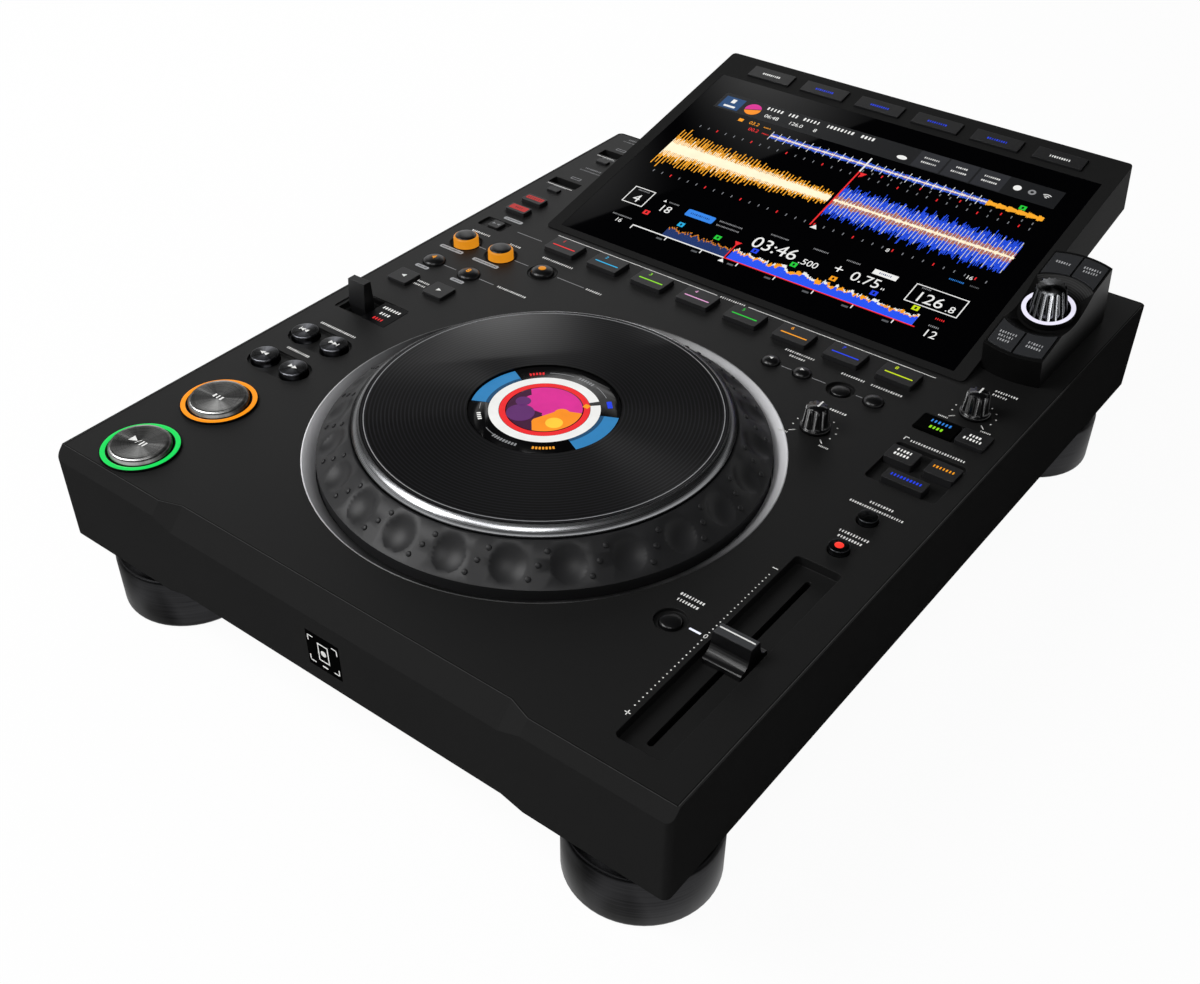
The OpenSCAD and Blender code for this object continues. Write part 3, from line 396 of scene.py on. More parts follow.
@dataclass(frozen=True)
class Finish:
    """A surface: its name, its colour as sRGB hex and its roughness."""

    name: str
    colour: str
    roughness: float = 0.5

    def material(self) -> bpy.types.Material:
        """The material of this finish, made once."""
        made = bpy.data.materials.get(self.name)
        if made is None:
            made = bpy.data.materials.new(self.name)
            made.use_nodes = True
            made.node_tree.nodes.clear()
            shader = add_node(made.node_tree, "ShaderNodeBsdfPrincipled", inputs={
                "Roughness": self.roughness})
            shader.inputs["Base Color"].default_value = linear(self.colour)
            add_node(made.node_tree, "ShaderNodeOutputMaterial", inputs={"Surface": shader.outputs[0]})
            self.dress(made.node_tree, shader)
        return made

    def dress(self, tree: Tree, shader: Node) -> None:
        """Adds what sets this finish apart from a plain colour.

        Args:
            tree: the material's tree.
            shader: its surface shader.
        """

    def coordinates(self, tree: Tree) -> Socket:
        """Coordinates of the piece in metres, in the object's own space."""
        return add_node(tree, "ShaderNodeTexCoord").outputs["Object"]

    def blend(self, tree: Tree, factor: Socket, low: float, high: float, into: Socket) -> None:
        """Feeds a socket with the colour at two brightnesses.

        Args:
            tree: the material's tree.
            factor: 0 where the darker one shows and 1 where the brighter one does.
            low: the darker one as a share of the colour.
            high: the brighter one as a share of it.
            into: the socket.
        """
        base = linear(self.colour)
        mixed = add_node(tree, "ShaderNodeMix", {"data_type": "RGBA"}, {"Factor": factor})
        mixed.inputs[6].default_value = (*(c * low for c in base[:3]), 1.0)
        mixed.inputs[7].default_value = (*(min(1.0, c * high) for c in base[:3]), 1.0)
        tree.links.new(mixed.outputs[2], into)

    def uneven(self, tree: Tree, shader: Node, factor: Socket, low: float, high: float) -> None:
        """Lets the roughness run between two shares of its value."""
        spread = add_node(tree, "ShaderNodeMapRange", inputs={
            "Value": factor, "To Min": self.roughness * low, "To Max": self.roughness * high})
        tree.links.new(spread.outputs[0], shader.inputs["Roughness"])

    def mottle(self, tree: Tree, shader: Node, size: float, spread: float) -> None:
        """Lets the colour drift a little from place to place.

        Args:
            tree: the material's tree.
            shader: its surface shader.
            size: how wide a patch is, in millimetres.
            spread: how far the brightness drifts, as a share of it.
        """
        cloud = add_node(tree, "ShaderNodeTexNoise", inputs={
            "Vector": self.coordinates(tree), "Scale": 1 / (size * MM), "Detail": 3.0})
        self.blend(tree, cloud.outputs["Fac"], 1 - spread, 1 + spread, shader.inputs["Base Color"])

    def grain(self, tree: Tree, shader: Node, size: float, relief: float, edge: float) -> None:
        """Adds a fine moulded grain and softens the sharp edges.

        Args:
            tree: the material's tree.
            shader: its surface shader.
            size: width of a grain, in millimetres.
            relief: height of the grain, in millimetres.
            edge: radius of the softened edges, in millimetres.
        """
        soft = add_node(tree, "ShaderNodeBevel", {"samples": 4}, {"Radius": edge * MM})
        noise = add_node(tree, "ShaderNodeTexNoise", inputs={
            "Vector": self.coordinates(tree), "Scale": 1 / (size * MM), "Detail": 2.0, "Roughness": 0.6})
        bump = add_node(tree, "ShaderNodeBump", inputs={
            "Strength": 0.6, "Distance": relief * MM, "Height": noise.outputs["Fac"],
            "Normal": soft.outputs[0]})
        tree.links.new(bump.outputs[0], shader.inputs["Normal"])


@dataclass(frozen=True)
class MouldedAbs(Finish):
    """Injection-moulded ABS with a spark-eroded grain: dull, with a faint sheen at low angles."""

    grain_size: float = 0.5
    relief: float = 0.02
    edge: float = 0.35
    level: float = 0.3

    def dress(self, tree: Tree, shader: Node) -> None:
        """Grain, softened edges and a slight drift of colour."""
        shader.inputs["Specular IOR Level"].default_value = self.level
        self.mottle(tree, shader, 35.0, 0.05)
        self.grain(tree, shader, self.grain_size, self.relief, self.edge)


@dataclass(frozen=True)
class PolishedAbs(Finish):
    """ABS from a polished mould: glossy and dark, with sharp reflections and a trace of flow marks."""

    edge: float = 0.25
    level: float = 0.5

    def dress(self, tree: Tree, shader: Node) -> None:
        """Softened edges, faint waves in the gloss."""
        shader.inputs["Specular IOR Level"].default_value = self.level
        self.mottle(tree, shader, 12.0, 0.08)
        self.grain(tree, shader, 6.0, 0.004, self.edge)


@dataclass(frozen=True)
class CoverGlass(Finish):
    """Black-printed cover glass, coated against reflections: deep black, with a dim clear mirror image."""

    def dress(self, tree: Tree, shader: Node) -> None:
        """A faint haze of fine marks in the gloss."""
        shader.inputs["IOR"].default_value = 1.2
        haze = add_node(tree, "ShaderNodeTexNoise", inputs={
            "Vector": self.coordinates(tree), "Scale": 1 / (20 * MM), "Detail": 6.0})
        self.uneven(tree, shader, haze.outputs["Fac"], 0.7, 1.4)
        self.mottle(tree, shader, 40.0, 0.1)


@dataclass(frozen=True)
class SpunMetal(Finish):
    """Aluminium turned on a lathe: fine circles round its axis draw the lamps' light out into wedges, and
    light and dark wedges are also painted into its colour.
    """

    axis_at: tuple[float, float, float] = (0.0, 0.0, 0.0)
    axis: tuple[float, float, float] = (0.0, 0.0, 1.0)
    stretch: float = 0.85
    line: float = 0.35
    wedges: float = 0.5
    wedge_count: float = 5.0
    # bright is the way along which the painted highlight wedges lie; lobe sets how narrow they are
    bright: tuple[float, float, float] = (-0.88, -0.47, 0.0)
    lobe: float = 2.0
    streaks: float = 0.45
    metallic: float = 1.0

    def dress(self, tree: Tree, shader: Node) -> None:
        """Circular lines about the axis, a highlight stretched across them, and painted highlight and shade
        wedges.
        """
        shader.inputs["Metallic"].default_value = self.metallic
        shader.inputs["Anisotropic"].default_value = self.stretch
        off = add_node(tree, "ShaderNodeVectorMath", {"operation": "SUBTRACT"}, {
            0: self.coordinates(tree), 1: self.axis_at})
        along = add_node(tree, "ShaderNodeVectorMath", {"operation": "CROSS_PRODUCT"}, {
            0: self.axis, 1: off.outputs[0]})
        self.paint_highlight_wedges(tree, shader, along.outputs[0])
        radius = add_node(tree, "ShaderNodeVectorMath", {"operation": "LENGTH"}, {0: along.outputs[0]})
        world = add_node(tree, "ShaderNodeVectorTransform", {
            "vector_type": "VECTOR", "convert_from": "OBJECT", "convert_to": "WORLD"}, {0: along.outputs[0]})
        tree.links.new(world.outputs[0], shader.inputs["Tangent"])
        rings = add_node(tree, "ShaderNodeTexNoise", {"noise_dimensions": "1D"}, {
            "W": radius.outputs["Value"], "Scale": 1 / (self.line * MM), "Detail": 2.0})
        self.uneven(tree, shader, rings.outputs["Fac"], 0.75, 1.25)
        soft = add_node(tree, "ShaderNodeBevel", {"samples": 4}, {"Radius": 0.25 * MM})
        bump = add_node(tree, "ShaderNodeBump", inputs={
            "Strength": 0.1, "Distance": 0.004 * MM, "Height": rings.outputs["Fac"],
            "Normal": soft.outputs[0]})
        tree.links.new(bump.outputs[0], shader.inputs["Normal"])

    def paint_highlight_wedges(self, tree: Tree, shader: Node, along: Socket) -> None:
        """Painted highlight and shade: light and dark wedges out from the axis, lightest along the way that
        bright points, with random streaks among them.
        """
        unit = add_node(tree, "ShaderNodeVectorMath", {"operation": "NORMALIZE"}, {0: along})
        noise = add_node(tree, "ShaderNodeTexNoise", inputs={
            "Vector": unit.outputs[0], "Scale": self.wedge_count, "Detail": 4.0, "Roughness": 0.6})
        fine = add_node(tree, "ShaderNodeMapRange", inputs={
            "Value": noise.outputs["Fac"], "From Min": 0.35, "From Max": 0.65,
            "To Min": -self.streaks / 2, "To Max": self.streaks / 2})
        facing = add_node(tree, "ShaderNodeVectorMath", {"operation": "DOT_PRODUCT"}, {
            0: unit.outputs[0], 1: self.bright})
        size = add_node(tree, "ShaderNodeMath", {"operation": "ABSOLUTE"}, {0: facing.outputs["Value"]})
        lobes = add_node(tree, "ShaderNodeMath", {"operation": "POWER"}, {0: size.outputs[0], 1: self.lobe})
        share = add_node(tree, "ShaderNodeMath", {"operation": "ADD", "use_clamp": True}, {
            0: fine.outputs[0], 1: lobes.outputs[0]})
        self.blend(tree, share.outputs[0], 1 - self.wedges, 1 + self.wedges, shader.inputs["Base Color"])


@dataclass(frozen=True)
class TurnedMetal(Finish):
    """Anodised aluminium brushed round its girth: dark, with level streaks and painted upright highlight
    bands.
    """

    line: float = 0.8
    drift: float = 25.0
    contrast: float = 1.2

    def dress(self, tree: Tree, shader: Node) -> None:
        """Level streaks round the upright axis, and painted highlight and shade by the way the surface faces.
        """
        shader.inputs["Metallic"].default_value = 1.0
        shader.inputs["Anisotropic"].default_value = 0.9
        normal = add_node(tree, "ShaderNodeNewGeometry").outputs["Normal"]
        level = add_node(tree, "ShaderNodeVectorMath", {"operation": "CROSS_PRODUCT"}, {0: UP, 1: normal})
        tree.links.new(level.outputs[0], shader.inputs["Tangent"])
        streak = add_node(tree, "ShaderNodeMapping", inputs={
            "Vector": self.coordinates(tree), "Scale": (self.drift, self.drift, 1 / (self.line * MM))})
        noise = add_node(tree, "ShaderNodeTexNoise", inputs={
            "Vector": streak.outputs[0], "Scale": 1.0, "Detail": 3.0})
        self.uneven(tree, shader, noise.outputs["Fac"], 0.7, 1.4)
        bump = add_node(tree, "ShaderNodeBump", inputs={
            "Strength": 0.4, "Distance": 0.015 * MM, "Height": noise.outputs["Fac"]})
        tree.links.new(bump.outputs[0], shader.inputs["Normal"])
        # Painted highlight and shade: the colour is lighter or darker by the way the surface faces, as
        # softboxes would light a cylinder.
        girth = add_node(tree, "ShaderNodeTexNoise", inputs={"Vector": normal, "Scale": 1.6, "Detail": 1.0})
        lobes = add_node(tree, "ShaderNodeMapRange", inputs={
            "Value": girth.outputs["Fac"], "From Min": 0.4, "From Max": 0.62, "To Min": -0.6, "To Max": 0.25})
        share = add_node(tree, "ShaderNodeMath", {"operation": "MULTIPLY_ADD", "use_clamp": True}, {
            0: noise.outputs["Fac"], 1: self.contrast, 2: lobes.outputs[0]})
        self.blend(tree, share.outputs[0], 0.25, 2.4, shader.inputs["Base Color"])


@dataclass(frozen=True)
class GroovedDisc(Finish):
    """Gloss-black polycarbonate with concentric grooves under a clear skin, like a pressed record."""

    axis_at: tuple[float, float, float] = (0.0, 0.0, 0.0)
    pitch: float = 1.7
    ridge: float = 6.5
    coat: float = 0.75

    def dress(self, tree: Tree, shader: Node) -> None:
        """Grooves about the axis, painted as light and dark rings in the colour: a painted sheen, drawn
        coarser than the real grooves so that it shows.
        """
        shader.inputs["Specular IOR Level"].default_value = 0.16
        shader.inputs["Anisotropic"].default_value = 0.9
        shader.inputs["Coat Weight"].default_value = self.coat
        shader.inputs["Coat Roughness"].default_value = 0.04
        off = add_node(tree, "ShaderNodeVectorMath", {"operation": "SUBTRACT"}, {
            0: self.coordinates(tree), 1: self.axis_at})
        flat = add_node(tree, "ShaderNodeVectorMath", {"operation": "MULTIPLY"}, {
            0: off.outputs[0], 1: (1.0, 1.0, 0.0)})
        radius = add_node(tree, "ShaderNodeVectorMath", {"operation": "LENGTH"}, {0: flat.outputs[0]})
        phase = add_node(tree, "ShaderNodeMath", {"operation": "MULTIPLY"}, {
            0: radius.outputs["Value"], 1: 2 * math.pi / (self.pitch * MM)})
        wave = add_node(tree, "ShaderNodeMath", {"operation": "SINE"}, {0: phase.outputs[0]})
        round_it = add_node(tree, "ShaderNodeVectorMath", {"operation": "CROSS_PRODUCT"}, {
            0: UP, 1: flat.outputs[0]})
        tree.links.new(round_it.outputs[0], shader.inputs["Tangent"])
        # Painted sheen: the rings run from 0.3 to ridge times the dark colour, for the light the grooves
        # catch.
        self.blend(tree, wave.outputs[0], 0.3, self.ridge, shader.inputs["Base Color"])


@dataclass(frozen=True)
class Lit(Finish):
    """Clear plastic or a screen lit from behind: it glows in its colour, a little unevenly."""

    glow: float = 1.0
    patch: float = 6.0

    def dress(self, tree: Tree, shader: Node) -> None:
        """A glow that drifts a little over the surface."""
        base = linear(self.colour)
        shader.inputs["Emission Strength"].default_value = self.glow
        cloud = add_node(tree, "ShaderNodeTexNoise", inputs={
            "Vector": self.coordinates(tree), "Scale": 1 / (self.patch * MM), "Detail": 2.0})
        self.blend(tree, cloud.outputs["Fac"], 0.88, 1.1, shader.inputs["Emission Color"])
        shader.inputs["Base Color"].default_value = (*(c * 0.15 for c in base[:3]), 1.0)
        shader.inputs["Specular IOR Level"].default_value = 0.2


@dataclass(frozen=True)
class Ink(Finish):
    """Pad-printed ink on plastic: dull and a touch uneven where it lies on the grain."""

    def dress(self, tree: Tree, shader: Node) -> None:
        """Uneven cover at the size of the grain under it."""
        shader.inputs["Specular IOR Level"].default_value = 0.2
        self.mottle(tree, shader, 0.5, 0.12)


@dataclass(frozen=True)
class PlainMetal(Finish):
    """Sheet steel or cast block inside the case and in the sockets: bright or dull, lightly scuffed."""

    metallic: float = 1.0

    def dress(self, tree: Tree, shader: Node) -> None:
        """Scuffs in the colour and relief."""
        shader.inputs["Metallic"].default_value = self.metallic
        self.mottle(tree, shader, 5.0, 0.1)
        self.grain(tree, shader, 1.0, 0.01, 0.2)


def lit_mark(name: str, colour: str, glow: float = 1.0) -> Lit:
    """A lit mark in one colour; it has the gloss of the pane in front of it."""
    return Lit(f"lit_{name}", colour, PANE_GLOSS, glow)


class Tone(Enum):
    """Colours of the lit and printed marks, by what they mark."""

    WHITE = "#e8e8e6"
    GREY = "#8f9092"
    DIM = "#55575a"
    RED = "#e3262a"
    CYAN = "#22a6d8"
    LIME = "#86d61a"
    PINK = "#d99ac9"
    GREEN = "#1fc436"
    ORANGE = "#f09a18"
    BLUE = "#1f3fe0"
    YELLOW = "#c3d916"
    SKY = "#2f7fd8"
    CREAM = "#ffeccb"
    AMBER = "#f7a12b"
    BROWN = "#c87814"
    NAVY = "#16306e"

    def printed(self) -> Ink:
        """This colour as printed ink."""
        return Ink(f"ink_{self.name.lower()}", self.value, 0.6)

    def lit(self, glow: float = 1.0) -> Lit:
        """This colour as a lit mark."""
        return lit_mark(self.name.lower(), self.value, glow)


# No gloss: the broad faces of the case read as one flat black.
SHELL = MouldedAbs("black_abs_case", "#232323", 0.6, level=0.0)
# A trace of sheen, so that the deck pales to the back.
PLATE = MouldedAbs("black_abs_deck", "#141414", 0.5, level=0.24)
# Nearly dull: the faces of the display housing part by tone alone.
HOUSING = MouldedAbs("black_abs_display", "#1f1f1f", 0.55, level=0.02)
# A finer grain: tops of keys stand out from the deck.
KEY = MouldedAbs("black_abs_key", "#1c1c1d", 0.42, 0.3, 0.006, 0.35, 0.35)
# A soft sheen that rounds out the dimples.
RING = MouldedAbs("black_abs_ring", "#252526", 0.42, 0.6, 0.008, 0.12, 0.2)
# Gloss with a small sharp highlight.
KNOB = PolishedAbs("gloss_abs_knob", "#0a0a0b", 0.2)
# The same with a weaker mirror, for the domed tops.
DOME = PolishedAbs("gloss_abs_dome", "#0b0b0c", 0.3, level=0.4)
# Darker than the deck, so that lit marks seem to float.
LABEL = PolishedAbs("gloss_abs_label", "#050506", 0.3, level=0.1)
# Satin with a soft light along its edges.
LEVER = MouldedAbs("satin_abs_lever", "#131314", 0.4, 0.4, 0.004, 0.4, 0.3)
# Deep black with a dim clear mirror image.
GLASS = CoverGlass("cover_glass", "#020203", 0.03)
# Almost as dark as the glass, but nothing shows in it.
WINDOW = MouldedAbs("black_window", "#060606", 0.3, 0.5, 0.002, 0.2, 0.0)
# Dark brushed metal with bands round the girth and painted upright highlights.
FOOT = TurnedMetal("black_anodised_foot", "#1e1e1f", 0.35)
# Plain metals, paint and parts for what stands inside the case.
STEEL = PlainMetal("pressed_steel", "#9fa1a4", 0.38)
BLACK_STEEL = PlainMetal("black_painted_steel", "#151516", 0.55, 0.0)
BOARD = PlainMetal("green_board", "#16472c", 0.4, 0.0)
BLOCK = PlainMetal("component_block", "#8a8a84", 0.6, 0.0)
# Hardly any light comes back, as from a narrow slit.
GAP = MouldedAbs("shadow_black_abs", "#060606", 0.8, 0.5, 0.01, 0.2, 0.1)


# ---- Repeats -----------------------------------------------------------


class Repeater:
    """A Geometry Nodes tree that sets one shape many times and joins the copies into one mesh."""

    name = "repeat"
    sizes: dict[str, tuple[str, object]] = {}

    def __init__(self) -> None:
        """Builds the tree with one named input for each size."""
        self.tree = bpy.data.node_groups.new(self.name, "GeometryNodeTree")
        sockets = self.tree.interface
        sockets.new_socket("Shape", in_out="INPUT", socket_type="NodeSocketGeometry")
        self.keys: dict[str, str] = {}
        for label, (kind, default) in self.sizes.items():
            socket = sockets.new_socket(label, in_out="INPUT", socket_type=kind)
            socket.default_value = default
            self.keys[label] = socket.identifier
        self.keys["Finish"] = sockets.new_socket("Finish", in_out="INPUT",
                                                 socket_type="NodeSocketMaterial").identifier
        sockets.new_socket("Pieces", in_out="OUTPUT", socket_type="NodeSocketGeometry")
        self.given = add_node(self.tree, "NodeGroupInput").outputs
        placed = add_node(self.tree, "GeometryNodeInstanceOnPoints", inputs={
            "Instance": self.given["Shape"], **self.lay()})
        real = add_node(self.tree, "GeometryNodeRealizeInstances", inputs={"Geometry": placed.outputs[0]})
        dressed = add_node(self.tree, "GeometryNodeSetMaterial", inputs={
            "Geometry": real.outputs[0], "Material": self.given["Finish"]})
        add_node(self.tree, "NodeGroupOutput", inputs={0: dressed.outputs[0]})

    def lay(self) -> dict[str, Socket]:
        """Lays out the points, and their turns and scales where they have them."""
        raise NotImplementedError

    def reckon(self, values: dict[str, Socket], steps: Iterable[Sequence[str | float]]) -> None:
        """Works out a rule step by step.

        Args:
            values: the tree's values by name; each result joins them.
            steps: for each the result's name, the operation, and the names or numbers it takes.
        """
        for result, operation, *terms in steps:
            inputs = {i: values[term] if isinstance(term, str) else term for i, term in enumerate(terms)}
            values[result] = add_node(self.tree, "ShaderNodeMath", {"operation": operation}, inputs).outputs[0]

    def make(self, shape: Shape, name: str, finish: Finish, body: str, at: Matrix,
             values: dict[str, object]) -> Thing:
        """Sets the shape out and makes one plain mesh of the copies.

        Args:
            shape: what is repeated, in millimetres.
            name: the piece's name.
            finish: its finish.
            body: the body that carries it.
            at: the place of the whole set.
            values: the tree's inputs by name.

        Returns:
            The object.
        """
        data = bpy.data.meshes.new(name + "_one")
        bmesh.ops.recalc_face_normals(shape.mesh, faces=shape.mesh.faces)
        shape.mesh.to_mesh(data)
        shape.mesh.free()
        one = bpy.data.objects.new(name + "_one", data)
        bpy.context.scene.collection.objects.link(one)
        modifier = one.modifiers.new("Repeat", "NODES")
        modifier.node_group = self.tree
        for label, value in {**values, "Finish": finish.material()}.items():
            modifier[self.keys[label]] = value
        bpy.context.view_layer.update()
        mesh = bpy.data.meshes.new_from_object(one.evaluated_get(bpy.context.evaluated_depsgraph_get()))
        bpy.data.objects.remove(one)
        mesh.name = name
        mesh.transform(at)
        return settle(bpy.data.objects.new(name, mesh), finish, body)


class Row(Repeater):
    """Sets a shape along a straight row, each copy a little narrower or wider by a seeded choice."""

    name = "row"
    sizes = {
        "Count": ("NodeSocketInt", 5), "Step": ("NodeSocketVector", (1.0, 0.0, 0.0)),
        "Vary": ("NodeSocketFloat", 0.0), "Seed": ("NodeSocketInt", 1),
    }

    def lay(self) -> dict[str, Socket]:
        """Points in a row from the origin, and a width for each."""
        line = add_node(self.tree, "GeometryNodeMeshLine", {"mode": "OFFSET"}, {
            "Count": self.given["Count"], "Offset": self.given["Step"]})
        low = add_node(self.tree, "ShaderNodeMath", {"operation": "SUBTRACT"}, {0: 1.0, 1: self.given["Vary"]})
        width = add_node(self.tree, "FunctionNodeRandomValue", {"data_type": "FLOAT"}, {
            2: low.outputs[0], 3: 1.0, "Seed": self.given["Seed"]})
        scale = add_node(self.tree, "ShaderNodeCombineXYZ", inputs={0: width.outputs[1], 1: 1.0, 2: 1.0})
        return {"Points": line.outputs[0], "Scale": scale.outputs[0]}


class Ring(Repeater):
    """Sets a shape round a circle, each copy turned to face outwards."""

    name = "ring"
    sizes = {
        "Count": ("NodeSocketInt", 12), "Radius": ("NodeSocketFloat", 10.0),
        "Start": ("NodeSocketFloat", 0.0), "Step": ("NodeSocketFloat", 0.5),
    }

    def lay(self) -> dict[str, Socket]:
        """Points round the circle by their number, and a turn for each."""
        line = add_node(self.tree, "GeometryNodeMeshLine", {"mode": "OFFSET"}, {
            "Count": self.given["Count"], "Offset": (0.0, 0.0, 0.0)})
        values = {name: self.given[name] for name in self.sizes}
        values["index"] = add_node(self.tree, "GeometryNodeInputIndex").outputs[0]
        self.reckon(values, (
            ("swept", "MULTIPLY", "index", "Step"), ("angle", "ADD", "Start", "swept"),
            ("cosine", "COSINE", "angle"), ("across", "MULTIPLY", "cosine", "Radius"),
            ("sine", "SINE", "angle"), ("deep", "MULTIPLY", "sine", "Radius")))
        spot = add_node(self.tree, "ShaderNodeCombineXYZ", inputs={0: values["across"], 1: values["deep"]})
        moved = add_node(self.tree, "GeometryNodeSetPosition", inputs={
            "Geometry": line.outputs[0], "Position": spot.outputs[0]})
        turn = add_node(self.tree, "ShaderNodeCombineXYZ", inputs={2: values["angle"]})
        return {"Points": moved.outputs[0], "Rotation": turn.outputs[0]}


class Wave(Repeater):
    """Sets a thin bar many times along a row; its heights are seeded noise that falls off after each beat."""

    gain = 1.55  # the noise seldom passes two thirds of its span
    name = "wave"
    sizes = {
        "Count": ("NodeSocketInt", 100), "Step": ("NodeSocketVector", (0.5, 0.0, 0.0)),
        "Low": ("NodeSocketFloat", 1.0), "High": ("NodeSocketFloat", 10.0), "Sharp": ("NodeSocketFloat", 2.0),
        "Beat": ("NodeSocketFloat", 16.0), "Fall": ("NodeSocketFloat", 0.5), "Seed": ("NodeSocketFloat", 1.0),
        "Rise": ("NodeSocketFloat", 0.0), "End": ("NodeSocketFloat", 1.0), "Grain": ("NodeSocketFloat", 0.73),
    }

    def lay(self) -> dict[str, Socket]:
        """Points in a row and a height for each."""
        line = add_node(self.tree, "GeometryNodeMeshLine", {"mode": "OFFSET"}, {
            "Count": self.given["Count"], "Offset": self.given["Step"]})
        values = {name: self.given[name] for name in self.sizes}
        values["index"] = add_node(self.tree, "GeometryNodeInputIndex").outputs[0]
        self.reckon(values, (("drift", "MULTIPLY", "index", "Grain"), ("place", "ADD", "drift", "Seed")))
        noise = add_node(self.tree, "ShaderNodeTexNoise", {"noise_dimensions": "1D"}, {
            "W": values["place"], "Scale": 1.0, "Detail": 3.0, "Roughness": 0.8})
        values["noise"] = noise.outputs[0]
        self.reckon(values, (
            ("full", "MULTIPLY", "noise", self.gain), ("level", "MINIMUM", 1.0, "full"),
            ("peak", "POWER", "level", "Sharp"),
            ("beats", "DIVIDE", "index", "Beat"), ("share", "FRACT", "beats"),
            ("loss", "MULTIPLY", "share", "Fall"), ("fade", "SUBTRACT", 1.0, "loss"),
            ("left", "MULTIPLY", "peak", "fade"), ("span", "SUBTRACT", "High", "Low"),
            ("above", "MULTIPLY", "span", "left"), ("even", "ADD", "Low", "above"),
            ("along", "DIVIDE", "index", "Count"), ("change", "SUBTRACT", "End", 1.0),
            ("so_far", "MULTIPLY", "along", "change"), ("taper", "ADD", 1.0, "so_far"),
            ("height", "MULTIPLY", "even", "taper"),
            ("half", "MULTIPLY", "height", 0.5), ("raised", "MULTIPLY", "half", "Rise")))
        scale = add_node(self.tree, "ShaderNodeCombineXYZ", inputs={0: 1.0, 1: values["height"], 2: 1.0})
        lift = add_node(self.tree, "ShaderNodeCombineXYZ", inputs={1: values["raised"]})
        moved = add_node(self.tree, "GeometryNodeSetPosition", inputs={
            "Geometry": line.outputs[0], "Offset": lift.outputs[0]})
        return {"Points": moved.outputs[0], "Scale": scale.outputs[0]}


